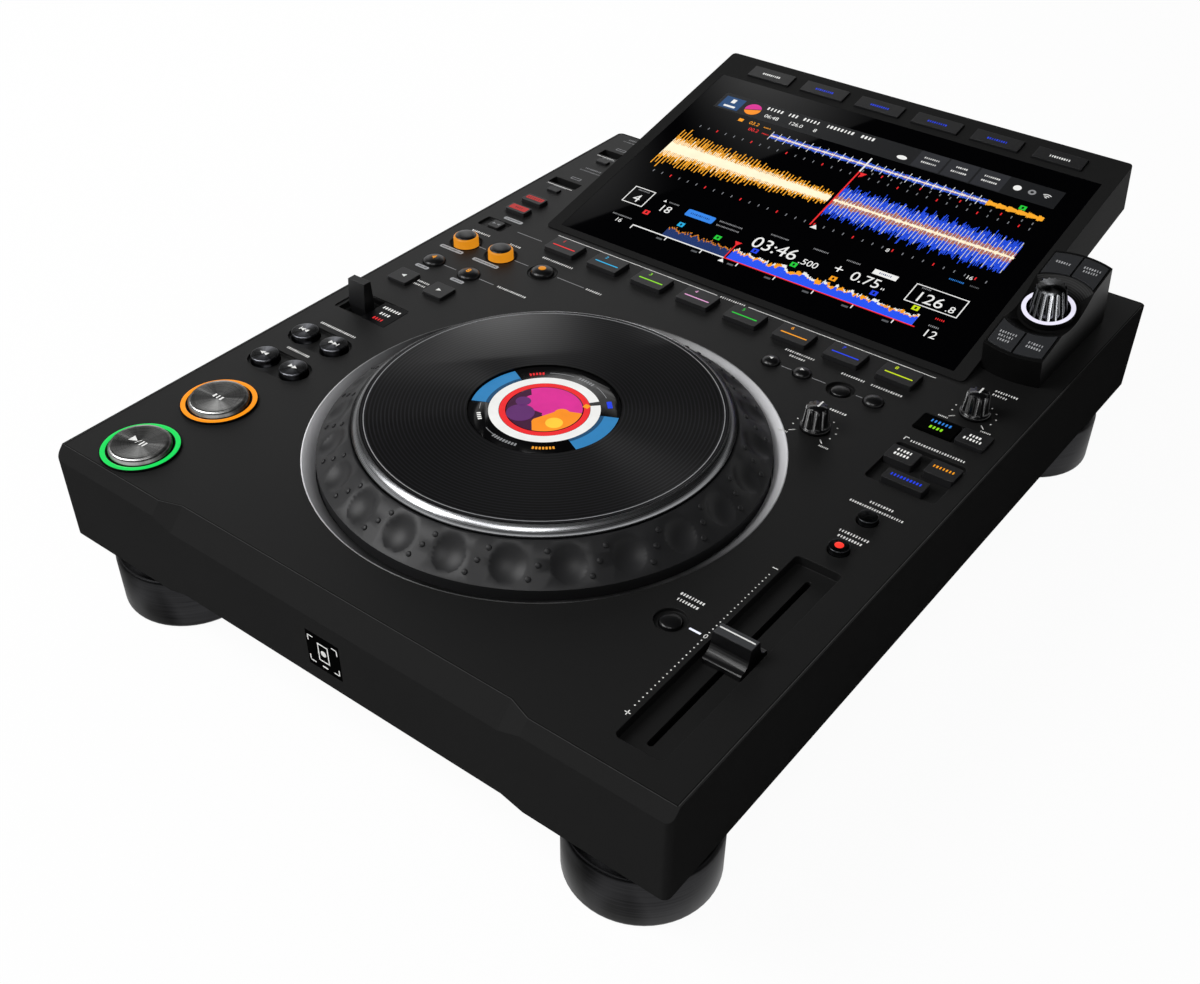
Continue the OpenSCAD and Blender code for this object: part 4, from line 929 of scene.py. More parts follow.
@dataclass
class Workshop:
    """What every sub-assembly works with: places, repeats and the frame's nodes."""

    places: Places
    nodes: dict[str, Thing]
    bodies: dict[str, str]
    row: Row
    ring: Ring
    wave: Wave
    letter_pitch: float = 0.6

    def dress(self, node: str, finish: Finish) -> None:
        """Gives a solid of the frame its finish."""
        mesh = self.nodes[node].data
        mesh.materials.clear()
        mesh.materials.append(finish.material())
        mesh.polygons.foreach_set("material_index", [0] * len(mesh.polygons))

    def smooth(self, node: str, finish: Finish, angle: float = 32.0, even: bool = False) -> Thing:
        """Stands in for a round solid with a merged copy of it that is shaded smooth.

        Args:
            node: the solid.
            finish: its finish.
            angle: edges flatter than this many degrees are shaded smooth.
            even: whether large flat faces keep their own normals, so that no long triangle shows.

        Returns:
            The copy.
        """
        piece = Shape().copy_of(self.nodes[node]).piece(node + "_dressed", finish, self.bodies[node],
                                                        smooth=angle, outward=False)
        if even:
            weighted = piece.modifiers.new("Even shading", "WEIGHTED_NORMAL")
            weighted.keep_sharp = True
        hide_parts(node)
        return piece

    def legend(self, name: str, length: float, height: float, finish: Finish, body: str, at: Matrix,
               seed: int = 1) -> Thing:
        """A row of short dashes that stands for a printed legend, centred on its place."""
        pitch = height * self.letter_pitch
        count = max(2, round(length / pitch))
        shape = Shape().prism(rounded(pitch * 0.62, height * 0.74, height * 0.1, 2), -SINK, 0.04)
        start = at @ Matrix.Translation((-(count - 1) * pitch / 2, 0.0, 0.0))
        return self.row.make(shape, name, finish, body, start, {
            "Count": count, "Step": (pitch, 0.0, 0.0), "Vary": 0.5, "Seed": seed})

    def plates(self, name: str, finish: Finish, body: str, at: Matrix, items: Iterable[Sequence[float]],
               top: float = 0.05, r: float = 0.12) -> Thing:
        """Flat rectangles of one finish on one surface, made one piece.

        Args:
            name: the piece's name.
            finish: its finish.
            body: the body that carries it.
            at: the place from which the rectangles are measured.
            items: x, y, width, height and, where it has one, turn in degrees.
            top: how far they stand out.
            r: their corner radius at most.

        Returns:
            The object.
        """
        shape = Shape()
        for x, y, w, h, *turn in items:
            turned = Matrix.Rotation(math.radians(turn[0] if turn else 0.0), 4, "Z")
            spot = Matrix.Translation((x, y, 0.0)) @ turned
            shape.prism(rounded(w, h, min(r, w / 2.01, h / 2.01), 2), -SINK, top, at=spot)
        return shape.piece(name, finish, body, at)

    def frames(self, name: str, finish: Finish, body: str, at: Matrix, items: Iterable[Sequence[float]],
               line: float = 0.38) -> Thing:
        """Outlines of rectangles, each drawn as four strips: x, y, width, height."""
        strips = []
        for x, y, w, h in items:
            for side in (-1, 1):
                strips.append((x, y + side * (h - line) / 2, w, line))
                strips.append((x + side * (w - line) / 2, y, line, h - 2 * line))
        return self.plates(name, finish, body, at, strips, r=0.02)

    def outlines(self, name: str, finish: Finish, body: str, at: Matrix,
                 items: Iterable[tuple[float, float, Outline]], top: float = 0.05) -> Thing:
        """Flat marks of any outline, made one piece: x, y and the outline about it."""
        shape = Shape()
        for x, y, outline in items:
            shape.prism(outline, -SINK, top, at=Matrix.Translation((x, y, 0.0)))
        return shape.piece(name, finish, body, at)

    def legends(self, name: str, finish: Finish, body: str, place: Callable[..., Matrix],
                items: Iterable[Sequence[float]], lift: float = 0.0) -> None:
        """Printed legends of one finish: x, y, length and height of each."""
        for number, (x, y, length, height) in enumerate(items):
            self.legend(f"{name}_{number}", length, height, finish, body, place(x, y, lift),
                        seed=number + round(abs(x)))

    def arc_legend(self, name: str, radius: float, angle: float, length: float, height: float, finish: Finish,
                   body: str, at: Matrix) -> Thing:
        """A legend of short dashes set along an arc about a centre, its middle at an angle in degrees."""
        pitch = height * self.letter_pitch
        count = max(2, round(length / pitch))
        shape = Shape().prism(rounded(height * 0.74, pitch * 0.62, height * 0.1, 2), -SINK, 0.05)
        return self.ring.make(shape, name, finish, body, at, {
            "Count": count, "Radius": radius, "Start": math.radians(angle) - (count - 1) * pitch / radius / 2,
            "Step": pitch / radius})

    def hoop(self, name: str, r_in: float, r_out: float, finish: Finish, body: str, at: Matrix,
             start: float = 0.0, end: float = 360.0, top: float = 0.05) -> Thing:
        """A flat ring, or a part of one between two angles, lying on a surface."""
        if end - start >= 360:
            profile = [(r_in, -SINK), (r_out, -SINK), (r_out, top), (r_in, top)]
            return Shape().lathe(profile, 96).piece(name, finish, body, at)
        steps = max(4, round((end - start) / 4))
        return Shape().prism(sector(r_in, r_out, start, end, steps), -SINK, top).piece(name, finish, body, at)


# ---- Sub-assemblies ----------------------------------------------------


@dataclass
class SubAssembly:
    """A part of the player that is built and dressed together."""

    shop: Workshop

    def build(self) -> None:
        """Makes and dresses its pieces."""
        raise NotImplementedError

    def deck(self, x: float, d: float, z: float = 0.0) -> Matrix:
        """Place on the deck."""
        return self.shop.places.deck(x, d, z)

    def screen(self, x: float, s: float, n: float = 0.0) -> Matrix:
        """Place on the display slope."""
        return self.shop.places.display(x, s, n)


@dataclass
class Case(SubAssembly):
    """Lower case, deck plate, base pan, feet and what stands inside."""

    tile: tuple[float, float, float] = (-1.4, -26.6, 18.6)
    seam_x: float = 163.2
    seam_d: tuple[float, float, float] = (5.2, 8.8, 408.0)
    step: tuple[float, float] = (89.0, 99.5)
    bays: tuple[tuple[float, float, float], ...] = ((-148.4, 337.8, 19.0), (-150.4, 383.8, 13.8))

    def build(self) -> None:
        """Dresses the shells and adds the front tile, the marks of the two memory bays and a painted highlight
        on each bay's front lip.
        """
        shop = self.shop
        shop.dress("main_case", SHELL)
        shop.dress("top_plate", PLATE)
        shop.dress("base_plate", BLACK_STEEL)
        shop.smooth("feet", FOOT, 40.0)
        shop.dress("circuit_boards", BOARD)
        shop.dress("power_supply", BLOCK)
        x, z, side = self.tile
        face = shop.places.face(x, z)
        Shape().prism(rounded(side, side, 0.6), -0.3, 0.06, 0.04).piece("front_tile", WINDOW, "case", face)
        out, white, far, high, leg = shop.places.face(x, z, 0.06), Tone.WHITE.printed(), 8.0, 6.8, 2.9
        shop.frames("front_tile_icon", white, "case", out, [(0, 0.5, 6.0, 9.4)], 0.6)
        shop.outlines("front_tile_dot", white, "case", out, [(0, 0.5, arc(0, 0, 1.5, 0, 340, 16))])
        shop.plates("front_tile_corners", white, "case", out,
                    [bar for sx in (-1, 1) for sy in (-1, 1)
                     for bar in ((sx * (far - leg / 2), sy * high, leg, 0.55),
                                 (sx * far, sy * (high - leg / 2), 0.55, leg))] + [(0, -6.9, 3.0, 0.8)])
        self.seams()
        base = self.deck(0, 0)
        # Painted highlight: a thin white line on each bay's front lip.
        shop.plates("bay_edges", Tone.WHITE.printed(), "case", base, [
            (x, d - 5.2, w - 1.5, 0.45) for x, d, w in self.bays])
        shop.frames("bay_icons", Tone.GREY.printed(), "case", self.deck(0, 0),
                    [(x + 1.5, d + 8.0, 6.6, 2.4) for x, d, _ in self.bays], 0.4)
        shop.legends("bay_legend", Tone.GREY.printed(), "case", self.deck, [
            (-145.9, 360.6, 11.0, 1.9), (-145.9, 357.4, 14.0, 1.5), (-150.0, 406.6, 8.0, 1.9),
            (-150.0, 403.4, 12.0, 1.5), (-147.6, 331.9, 9.0, 1.5), (-147.6, 377.4, 9.0, 1.5)])

    def seams(self) -> None:
        """The fine joint round the deck plate: a dark gap, and beside it a painted highlight line for the
        light on the case's edge.
        """
        shop, x = self.shop, self.seam_x
        near, inner, far = self.seam_d
        middle, side = self.step
        front = [(-x, near), (-side, near), (-middle, inner), (middle, inner), (side, near), (x, near)]
        # The second line is a painted highlight in grey ink along the case's edge.
        for name, finish, shift, width in (("gap", GAP, 0.0, 0.34),
                                           ("edge", Ink("edge_grey", "#3b3b3b", 0.5), 0.42, 0.26)):
            lines = [stroke(x0, d0 - shift, x1, d1 - shift, width)
                     for (x0, d0), (x1, d1) in zip(front, front[1:])]
            lines += [stroke(way * (x + shift), near, way * (x + shift), far, width) for way in (-1, 1)]
            shop.plates(f"deck_seam_{name}", finish, "case", self.deck(0, 0), lines, 0.02, 0.05)


@dataclass
class DeckPrint(SubAssembly):
    """Lines, plates and legends printed on the deck between the controls."""

    line: float = 0.42

    def build(self) -> None:
        """Prints the guide lines, the grey plates and the legends."""
        base, shop, w = self.deck(0, 0), self.shop, self.line
        white, grey = Tone.WHITE.printed(), Tone.GREY.printed()
        shop.plates("deck_lines", grey, "case", base, [
            stroke(-132.1, 275.7, -115.1, 275.7, w), stroke(-137.7, 250.6, -133.0, 250.6, w),
            stroke(-113.2, 250.8, -103.9, 250.8, w), stroke(-84.6, 250.8, -67.4, 250.8, w),
            stroke(-139.4, 224.6, -130.8, 224.6, w), stroke(-115.4, 224.9, -105.6, 224.9, w),
            stroke(50.3, 251.2, 55.7, 251.2, w), stroke(66.9, 251.2, 74.2, 251.2, w),
            stroke(90.2, 251.2, 93.6, 251.2, w)])
        shop.plates("hot_cue_lines", white, "case", base, [
            stroke(-112.4, 286.6, -9.6, 286.6, 0.45), stroke(9.0, 286.6, 112.4, 286.6, 0.45)])
        shop.plates("deck_tabs", Ink("ink_tab_grey", "#a3a4a6", 0.6), "case", base,
                    [(-147.6, 239.7, 15.6, 2.8), (-123.6, 239.4, 17.2, 2.8), (-147.3, 216.4, 8.6, 2.6),
                     (-123.1, 216.6, 8.6, 2.6), (-142.6, 284.6, 12.6, 2.8)], r=0.9)
        shop.legends("tab_mark", GAP, "case", self.deck,
                     [(-147.6, 239.7, 13.0, 1.3), (-123.6, 239.4, 14.6, 1.3), (-147.3, 216.4, 6.4, 1.3),
                      (-123.1, 216.6, 6.4, 1.3), (-142.6, 284.6, 10.4, 1.3)], 0.05)
        shop.legends("deck_legend", white, "case", self.deck, [
            (-61.0, 250.8, 10.0, 2.1), (-93.8, 225.0, 19.0, 2.1), (-94.0, 262.8, 20.6, 2.1),
            (-147.0, 262.8, 12.0, 2.1), (-123.2, 263.0, 7.6, 2.1), (-136.9, 145.2, 23.4, 2.1),
            (-137.6, 119.5, 15.0, 2.1), (-0.4, 286.6, 15.6, 2.1), (52.0, 265.0, 16.6, 2.1),
            (52.6, 261.6, 8.4, 2.1), (81.8, 263.3, 13.0, 2.1), (99.3, 263.3, 16.2, 2.1),
            (90.4, 234.6, 9.4, 2.1), (144.4, 294.0, 11.0, 2.1), (142.6, 290.6, 7.0, 2.1),
            (139.6, 235.2, 26.0, 2.1), (139.2, 186.2, 11.4, 2.1), (138.8, 182.4, 24.8, 1.9),
            (139.6, 162.6, 13.4, 2.1), (139.6, 159.2, 11.6, 2.1), (109.8, 91.4, 11.2, 2.1),
            (109.8, 88.0, 10.4, 2.1), (-135.4, 204.6, 8.4, 1.9), (-135.4, 201.4, 8.4, 1.9)])
        shop.plates("doubles_arrow", white, "case", base, [
            stroke(123.6, 234.4, 123.6, 236.6, 0.5), stroke(123.4, 236.6, 125.4, 236.6, 0.5)])


@dataclass
class Jog(SubAssembly):
    """The big wheel: grip ring with dimples and studs, polished rim, grooved disc and the lit middle."""

    d: float = 136.8
    label_top: float = 16.4
    disc_top: float = 17.3
    studs: int = 24
    stud_r: float = 1.25
    slope: float = 39.2
    slope_in: tuple[float, float] = (84.5, 13.0)

    def build(self) -> None:
        """Dresses the wheel and the dish, sets the studs and draws the label."""
        shop = self.shop
        axis = tuple(self.deck(0, self.d).translation)
        # Painted highlight and shade: the dish is bright in two narrow crescents at the left and right and
        # dark between them.
        shop.smooth("jog_well",
                    SpunMetal("turned_silver_dish", "#a8a8aa", 0.4, axis, stretch=0.2, wedges=0.98,
                              bright=(-0.62, 0.79, 0.0), lobe=6.0, streaks=0.05, metallic=0.2), 30.0)
        shop.smooth("jog_ring", RING, 30.0)
        # Painted highlight: the rim's colour is lighter in two arcs, at the front and at the back.
        shop.smooth("jog_rim",
                    SpunMetal("chromed_rim", "#8e8f91", 0.27, axis, stretch=0.3, wedges=0.6,
                              bright=(0.79, 0.62, 0.0), streaks=0.1), 50.0)
        # The disc's grooves show as a painted sheen of light and dark rings.
        shop.smooth("jog_disc", GroovedDisc("grooved_disc", "#060607", 0.5, axis), 30.0)
        shop.smooth("jog_display", PolishedAbs("dark_label_glass", "#060607", 0.15, level=0.25), 30.0)
        for number, (radius, lag) in enumerate(((87.6, 2.3), (91.9, 0.0), (96.2, -2.3))):
            self.stud_circle(number, radius, lag)
        # Painted highlight: a thin grey ring of ink near the disc's edge stands for the light along it.
        Shape().lathe([(77.4, 0.0), (77.8, 0.0), (77.8, 0.06), (77.4, 0.06)], 128).piece(
            "disc_edge_line", Tone.GREY.printed(), "jog_wheel", self.deck(0, self.d, self.disc_top))
        self.label()

    def stud_circle(self, number: int, radius: float, lag: float) -> None:
        """One circle of small domed studs between the dimples."""
        fall = math.tan(math.radians(self.slope)) * (radius - self.slope_in[0])
        tilt = Matrix.Translation((0.0, 0.0, self.slope_in[1] - fall)) @ Matrix.Rotation(
            math.radians(self.slope), 4, "Y")
        r = self.stud_r
        profile = [(0.0, -0.3), (r, -0.3), (r, 0.15), (r * 0.88, 0.45), (r * 0.55, 0.66), (0.0, 0.72)]
        step = 2 * math.pi / self.studs
        self.shop.ring.make(Shape().lathe(profile, 12, tilt), f"grip_studs_{number}", RING, "jog_wheel",
                            self.deck(0, self.d),
                            {"Count": self.studs, "Radius": radius, "Start": step / 2 + math.radians(lag),
                             "Step": step})

    def label(self) -> None:
        """The round lit label: rings, arcs, marks and a small abstract picture."""
        shop = self.shop
        at = self.deck(0, self.d, self.label_top)
        sky = lit_mark("label_blue", "#2e7fb8", 0.9)
        for name, start in (("left", 153), ("right", -27)):
            shop.hoop(f"label_arc_{name}", 25.0, 32.6, sky, "case", at, start, start + 53)
            shop.hoop(f"label_arc_{name}_edge", 24.5, 26.2, lit_mark("label_deep", "#17496f", 0.9), "case",
                      at, start, start + 53, 0.08)
        shop.hoop("label_white_ring", 19.9, 24.3, Tone.WHITE.lit(0.95), "case", at, 51.5, 404.5)
        shop.hoop("label_red_ring", 17.0, 19.7, Tone.RED.lit(1.0), "case", at)
        for number, (start, end) in enumerate(((101, 124), (55, 74), (208, 217), (-113, -101))):
            shop.hoop(f"label_line_{number}", 27.9, 28.2, Tone.GREY.lit(0.8), "case", at, start, end)
        for name, tone, radius, angle, length in (("red", Tone.RED, 27.6, 136, 7.0),
                                                  ("white", Tone.GREY, 27.8, 87, 8.0),
                                                  ("amber", Tone.AMBER, 28.4, -52, 10.5),
                                                  ("grey", Tone.GREY, 28.4, -88, 13.0),
                                                  ("pale", Tone.WHITE, 28.4, -132, 6.4)):
            shop.arc_legend(f"label_mark_{name}", radius, angle, length, 2.4, tone.lit(0.9), "case", at)
        shop.plates("label_blue_key", Tone.BLUE.lit(1.0), "case", at, [(*self.polar(28.3, 44), 2.2, 5.0, 44)])
        shop.plates("label_orange_key", Tone.ORANGE.lit(1.0), "case", at,
                    [(*self.polar(18.3, 44), 2.6, 2.6, 0)], 0.09)
        disc = arc(0, 0, 16.6, 0, 352, 44)
        shop.outlines("label_picture_ground", lit_mark("picture_plum", "#3d1233"), "case", at, [(0, 0, disc)],
                      0.05)
        magenta, orange = lit_mark("picture_magenta", "#d02a8c"), lit_mark("picture_orange", "#f08a1c")
        violet, yellow = lit_mark("picture_violet", "#5b2a66"), lit_mark("picture_yellow", "#f6c238")
        upper = arc(0, 0, 16.5, 28, 150, 24) + arc(-6, 2, 6, 150, 260, 8) + arc(4, -2, 3, 200, 330, 6)
        shop.outlines("label_picture_upper", magenta, "case", at, [(0, 0, upper)], 0.08)
        right = arc(0, 0, 16.5, -70, 26, 20) + arc(8, 2.0, 3.4, 60, 200, 8) + arc(4.0, -9.0, 3.0, 150, 230, 6)
        shop.outlines("label_picture_right", orange, "case", at, [(0, 0, right)], 0.10)
        shop.outlines("label_picture_lower", violet, "case", at, [
            (-6.5, -8.5, arc(0, 0, 6.2, 0, 350, 30)), (-11.0, -1.0, arc(0, 0, 3.4, 0, 350, 20))], 0.12)
        shop.outlines("label_picture_sun", yellow, "case", at, [(9.8, -5.6, arc(0, 0, 3.8, 0, 350, 24))],
                      0.14)

    def polar(self, radius: float, angle: float) -> tuple[float, float]:
        """Point at a radius and an angle in degrees."""
        return radius * math.cos(math.radians(angle)), radius * math.sin(math.radians(angle))


@dataclass
class Display(SubAssembly):
    """Tilted display: housing, cover glass, the picture it shows and the six keys behind it."""

    keys_s: float = 172.4
    key_pitch: float = 35.8
    beat: float = 5.75

    def build(self) -> None:
        """Dresses the housing, keys and glass and draws the screen's picture."""
        shop = self.shop
        shop.dress("display_housing", HOUSING)
        shop.dress("display_panel", GLASS)
        shop.dress("display_keys", KEY)
        for number in range(6):
            tone = Tone.WHITE if number in (0, 5) else Tone.BLUE
            place = self.screen((number - 2.5) * self.key_pitch, self.keys_s, 1.2)
            shop.legend(f"display_key_mark_{number}", 11.5, 2.2, tone.lit(0.9), "display_keys", place,
                        seed=number + 3)
        self.header()
        self.waves()
        self.figures()
        self.overview()

    def text(self, name: str, tone: Tone, items: Iterable[Sequence[float]], lift: float = 0.0) -> None:
        """Rows of small lit dashes on the screen: x, s, length and height of each."""
        self.shop.legends(name, tone.lit(0.95), "case", self.screen, items, lift)

    def digits(self, name: str, text: str, x: float, s: float, height: float,
               tone: Tone = Tone.WHITE) -> None:
        """Lit digits on the screen."""
        numerals(text, height, self.screen(x, s), name, tone.lit(1.0), "case")

    def header(self) -> None:
        """Band at the top: badge, small abstract picture, title, three soft keys and small icons."""
        shop, at = self.shop, self.screen(0, 0)
        shop.plates("screen_band", lit_mark("band", "#141517"), "case", at, [(0.0, 141.0, 209.0, 15.2)], 0.02)
        shop.plates("screen_badge", lit_mark("badge", "#1e4470"), "case", at, [(-96.0, 140.4, 13.0, 11.0)],
                    0.05)
        shop.plates("screen_badge_icon", Tone.WHITE.lit(0.9), "case", at,
                    [(-96.0, 142.4, 2.6, 3.6), (-96.0, 137.2, 7.5, 1.6)], 0.08)
        shop.outlines("screen_picture", lit_mark("picture_magenta", "#d02a8c"), "case", at, [
            (-81.8, 140.6, arc(0, 0, 5.0, 20, 200, 12))], 0.05)
        shop.outlines("screen_picture_low", lit_mark("picture_orange", "#f08a1c"), "case", at, [
            (-81.8, 140.4, arc(0, 0, 5.0, 205, 375, 12))], 0.05)
        self.text("screen_title", Tone.WHITE, [
            (-69.6, 145.2, 11.4, 3.7), (-57.6, 145.2, 7.4, 3.7), (-45.6, 145.2, 11.4, 3.7),
            (-27.0, 145.2, 18.6, 3.7), (-9.6, 145.2, 9.4, 3.7)])
        for name, text, x in (("length", "06:48", -68.0), ("tempo", "126.0", -52.0), ("key", "8", -39.4)):
            self.digits(f"screen_{name}", text, x, 138.4, 3.0)
        self.digits("screen_cue_orange", "03.2", -73.4, 128.9, 2.8, Tone.ORANGE)
        self.text("screen_cue_words", Tone.ORANGE, [(-64.6, 128.6, 5.0, 1.3)])
        shop.plates("screen_cue_square", Tone.ORANGE.lit(0.9), "case", at, [(-82.4, 128.9, 3.0, 2.6)])
        self.digits("screen_cue_red", "00.2", -70.6, 123.6, 2.8, Tone.RED)
        self.text("screen_red_words", Tone.RED, [(-62.6, 123.3, 5.0, 1.3)])
        shop.plates("screen_soft_keys", lit_mark("soft_key", "#26272b"), "case", at, [
            (30.6, 141.2, 16.4, 14.4), (48.2, 141.2, 16.4, 14.4), (65.8, 141.2, 16.4, 14.4)], 0.04)
        self.text("screen_soft_words", Tone.WHITE,
                  [(30.6, 143.4, 9.0, 1.9), (30.6, 139.4, 9.0, 1.9), (48.2, 143.4, 6.6, 1.9),
                   (48.2, 139.4, 9.6, 1.9), (65.8, 143.4, 9.0, 1.9), (65.8, 139.4, 9.0, 1.9)], 0.03)
        shop.outlines("screen_icons", Tone.WHITE.lit(0.9), "case", at,
                      [(15.4, 138.0, [(x * 1.3, y * 0.75) for x, y in arc(0, 0, 2.3, 0, 345, 20)]),
                       (81.0, 141.3, arc(0, 0, 2.2, 0, 345, 20))], 0.05)
        shop.outlines("screen_icon_grey", Tone.GREY.lit(0.8), "case", at,
                      [(89.2, 141.3, arc(0, 0, 2.1, 0, 345, 20))], 0.05)
        shop.hoop("screen_icon_dot", 0.0001, 0.9, lit_mark("band", "#141517"), "case",
                  self.screen(89.2, 141.3, 0.05))
        for number, radius in enumerate((1.2, 2.5, 3.8)):
            shop.hoop(f"screen_radio_{number}", radius - 0.5, radius, Tone.WHITE.lit(0.9), "case",
                      self.screen(97.2, 139.4), 52, 128)

    def bars(self, name: str, finish: Finish, x: float, s: float, count: int, step: float, thick: float,
             top: float, **values: float) -> None:
        """One layer of a waveform.

        Args:
            name: the piece's name.
            finish: its lit colour.
            x: where the row starts.
            s: the row's middle or base line along the slope.
            count: how many bars.
            step: how far apart they stand.
            thick: how wide each is.
            top: how far the layer stands out, so that later layers cover earlier ones.
            values: Low, High, Sharp, Beat, Fall, Seed, Rise, End and Grain of the row.
        """
        shape = Shape().prism(rounded(thick, 1.0, 0.01, 1), -SINK, top)
        inputs: dict[str, object] = {"Count": count, "Step": (step, 0.0, 0.0), "Sharp": 2.0, "Beat": 11.5,
                                     "Fall": 0.6, "Seed": 1.0, "Rise": 0.0, "End": 1.0, "Grain": 0.73}
        for key, value in values.items():
            inputs[key.capitalize()] = float(value)
        self.shop.wave.make(shape, name, finish, "case", self.screen(x, s), inputs)

    def ticks(self, name: str, finish: Finish, x: float, s: float, count: int, step: float,
              size: tuple[float, float], top: float = 0.05) -> None:
        """A row of equal upright marks that starts at a place on the screen.

        Args:
            name: the piece's name.
            finish: its lit colour.
            x: where the row starts.
            s: its place along the slope.
            count: how many marks.
            step: how far apart they stand.
            size: width and height of one.
            top: how far they stand out.
        """
        shape = Shape().prism(rounded(*size, 0.1, 1), -SINK, top)
        self.shop.row.make(shape, name, finish, "case", self.screen(x, s), {
            "Count": count, "Step": (step, 0.0, 0.0), "Seed": 2})

    def waves(self) -> None:
        """The wide waveform, the narrow one over it, the beat ticks and the play line."""
        shop, at = self.shop, self.screen(0, 0)
        orange, cream, brown = lit_mark("wave_orange", "#f0a326"), Tone.CREAM.lit(1.0), Tone.BROWN.lit(1.0)
        blue, white = lit_mark("wave_blue", "#2450e8"), Tone.WHITE.lit(1.0)
        self.bars("wave_left_body", orange, -106.0, 89.6, 132, 0.8, 0.52, 0.05, low=9, high=30, sharp=2.0,
                  seed=3, end=0.4, fall=0.45)
        self.bars("wave_left_spikes", orange, -106.0, 89.6, 50, 2.1, 0.6, 0.07, low=14, high=40, sharp=1.0,
                  seed=14, end=0.36, fall=0.2)
        self.bars("wave_left_peaks", cream, -106.0, 89.6, 106, 1.0, 0.5, 0.09, low=5, high=23, sharp=1.8,
                  seed=17, end=0.42, fall=0.3)
        self.bars("wave_left_core", cream, -106.0, 89.6, 264, 0.4, 0.42, 0.11, low=5.6, high=10.5, sharp=1.4,
                  seed=8, end=0.55)
        self.bars("wave_right_body", blue, 1.8, 89.6, 206, 0.5, 0.36, 0.05, low=9, high=33, sharp=1.3, seed=5,
                  fall=0.4, end=1.04)
        self.bars("wave_right_mid", brown, 1.8, 89.6, 206, 0.5, 0.3, 0.09, low=4, high=12, sharp=1.4, seed=11,
                  fall=0.6)
        self.bars("wave_right_peaks", white, 1.8, 89.6, 52, 2.0, 0.26, 0.11, low=5, high=26, sharp=1.6,
                  seed=5, fall=0.0)
        self.bars("wave_right_core", cream, 1.8, 89.6, 258, 0.4, 0.42, 0.13, low=0.5, high=4.4, sharp=3.4,
                  seed=21, fall=0.6)
        self.bars("zoom_body", lit_mark("zoom_blue", "#3a62d8"), -59.0, 123.6, 330, 0.4, 0.3, 0.05, low=1.8,
                  high=5.6, sharp=1.0, seed=31, beat=14, fall=0.45)
        self.bars("zoom_mid", Tone.BROWN.lit(0.9), -59.0, 123.6, 330, 0.4, 0.3, 0.08, low=0.4, high=3.0,
                  sharp=2.6, seed=37, beat=14)
        self.bars("zoom_peaks", white, -59.0, 123.6, 26, 5.08, 0.3, 0.11, low=2.6, high=8.4, sharp=0.6,
                  seed=41, fall=0)
        self.bars("zoom_core", white, -59.0, 123.6, 330, 0.4, 0.34, 0.12, low=0.2, high=2.4, sharp=3.4,
                  seed=43, beat=14)
        self.bars("zoom_tail", orange, 73.0, 123.6, 78, 0.4, 0.36, 0.13, low=1.0, high=5.2, sharp=0.9,
                  seed=47, beat=14, fall=0.7, grain=0.2)
        grey, red = lit_mark("tick_grey", "#83858a", 0.8), Tone.RED.lit(0.9)
        rows = (("upper", 113.6, -100.0, 36), ("lower", 67.4, -100.0, 36), ("zoom", 118.2, 3.0, 18))
        for name, s, start, count in rows:
            self.ticks(f"beat_ticks_{name}", grey, start, s, count, self.beat, (0.5, 1.9))
            self.ticks(f"bar_ticks_{name}", red, start + 2 * self.beat, s, count // 4, 4 * self.beat,
                       (0.62, 2.0), 0.08)
        shop.plates("play_line", Tone.RED.lit(1.0), "case", at, [stroke(1.6, 66.0, 1.6, 117.0, 0.8)], 0.16,
                    0.05)
        shop.plates("play_line_top", white, "case", at, [stroke(1.6, 117.0, 1.6, 130.0, 0.8)], 0.16, 0.05)
        shop.outlines("play_flag", Tone.RED.lit(1.0), "case", at,
                      [(4.4, 114.8, [(-2.0, 1.6), (0.0, -1.8), (2.0, 1.6)])], 0.16)
        shop.outlines("play_foot", white, "case", at, [(4.6, 65.6, [(-2.0, -1.4), (2.0, -1.4), (0.0, 1.8)])],
                      0.1)

    def figures(self) -> None:
        """Numbers, boxes and small legends under the waveform."""
        shop, at, white = self.shop, self.screen(0, 0), Tone.WHITE.lit(0.95)
        shop.frames("figure_boxes", white, "case", at, [(-93.6, 44.2, 13.6, 14.2), (86.8, 44.2, 28.6, 14.0)],
                    0.55)
        self.digits("figure_player", "4", -93.6, 42.2, 6.4)
        self.digits("figure_track", "18", -74.2, 41.4, 5.6)
        shop.plates("figure_button", lit_mark("button_blue", "#2f80e0"), "case", at,
                    [(-53.6, 45.2, 17.6, 5.6)], 0.05, 1.0)
        self.text("figure_button_word", Tone.NAVY, [(-53.6, 45.2, 12.0, 1.9)], 0.05)
        for name, text, x, s, height in (("time", "03:46", -4.0, 40.8, 8.8),
                                         ("time_small", ".500", 17.4, 38.8, 4.6),
                                         ("plus", "+", 33.2, 42.0, 7.0), ("change", "0.75", 49.2, 41.0, 7.0)):
            self.digits(f"figure_{name}", text, x, s, height)
        shop.plates("figure_range", white, "case", at, [(55.8, 49.2, 13.4, 3.8)], 0.05, 0.1)
        for name, text, x, s, height in (("tempo", "126", 83.6, 42.6, 7.6),
                                         ("tempo_small", ".8", 95.8, 41.2, 4.8),
                                         ("jump", "16", -91.6, 22.4, 3.2), ("key", "12", 95.4, 21.2, 5.4),
                                         ("beat_8", "8", 47.2, 66.4, 2.8), ("beat_16", "16", 92.6, 66.6, 2.8)):
            self.digits(f"figure_{name}", text, x, s, height)
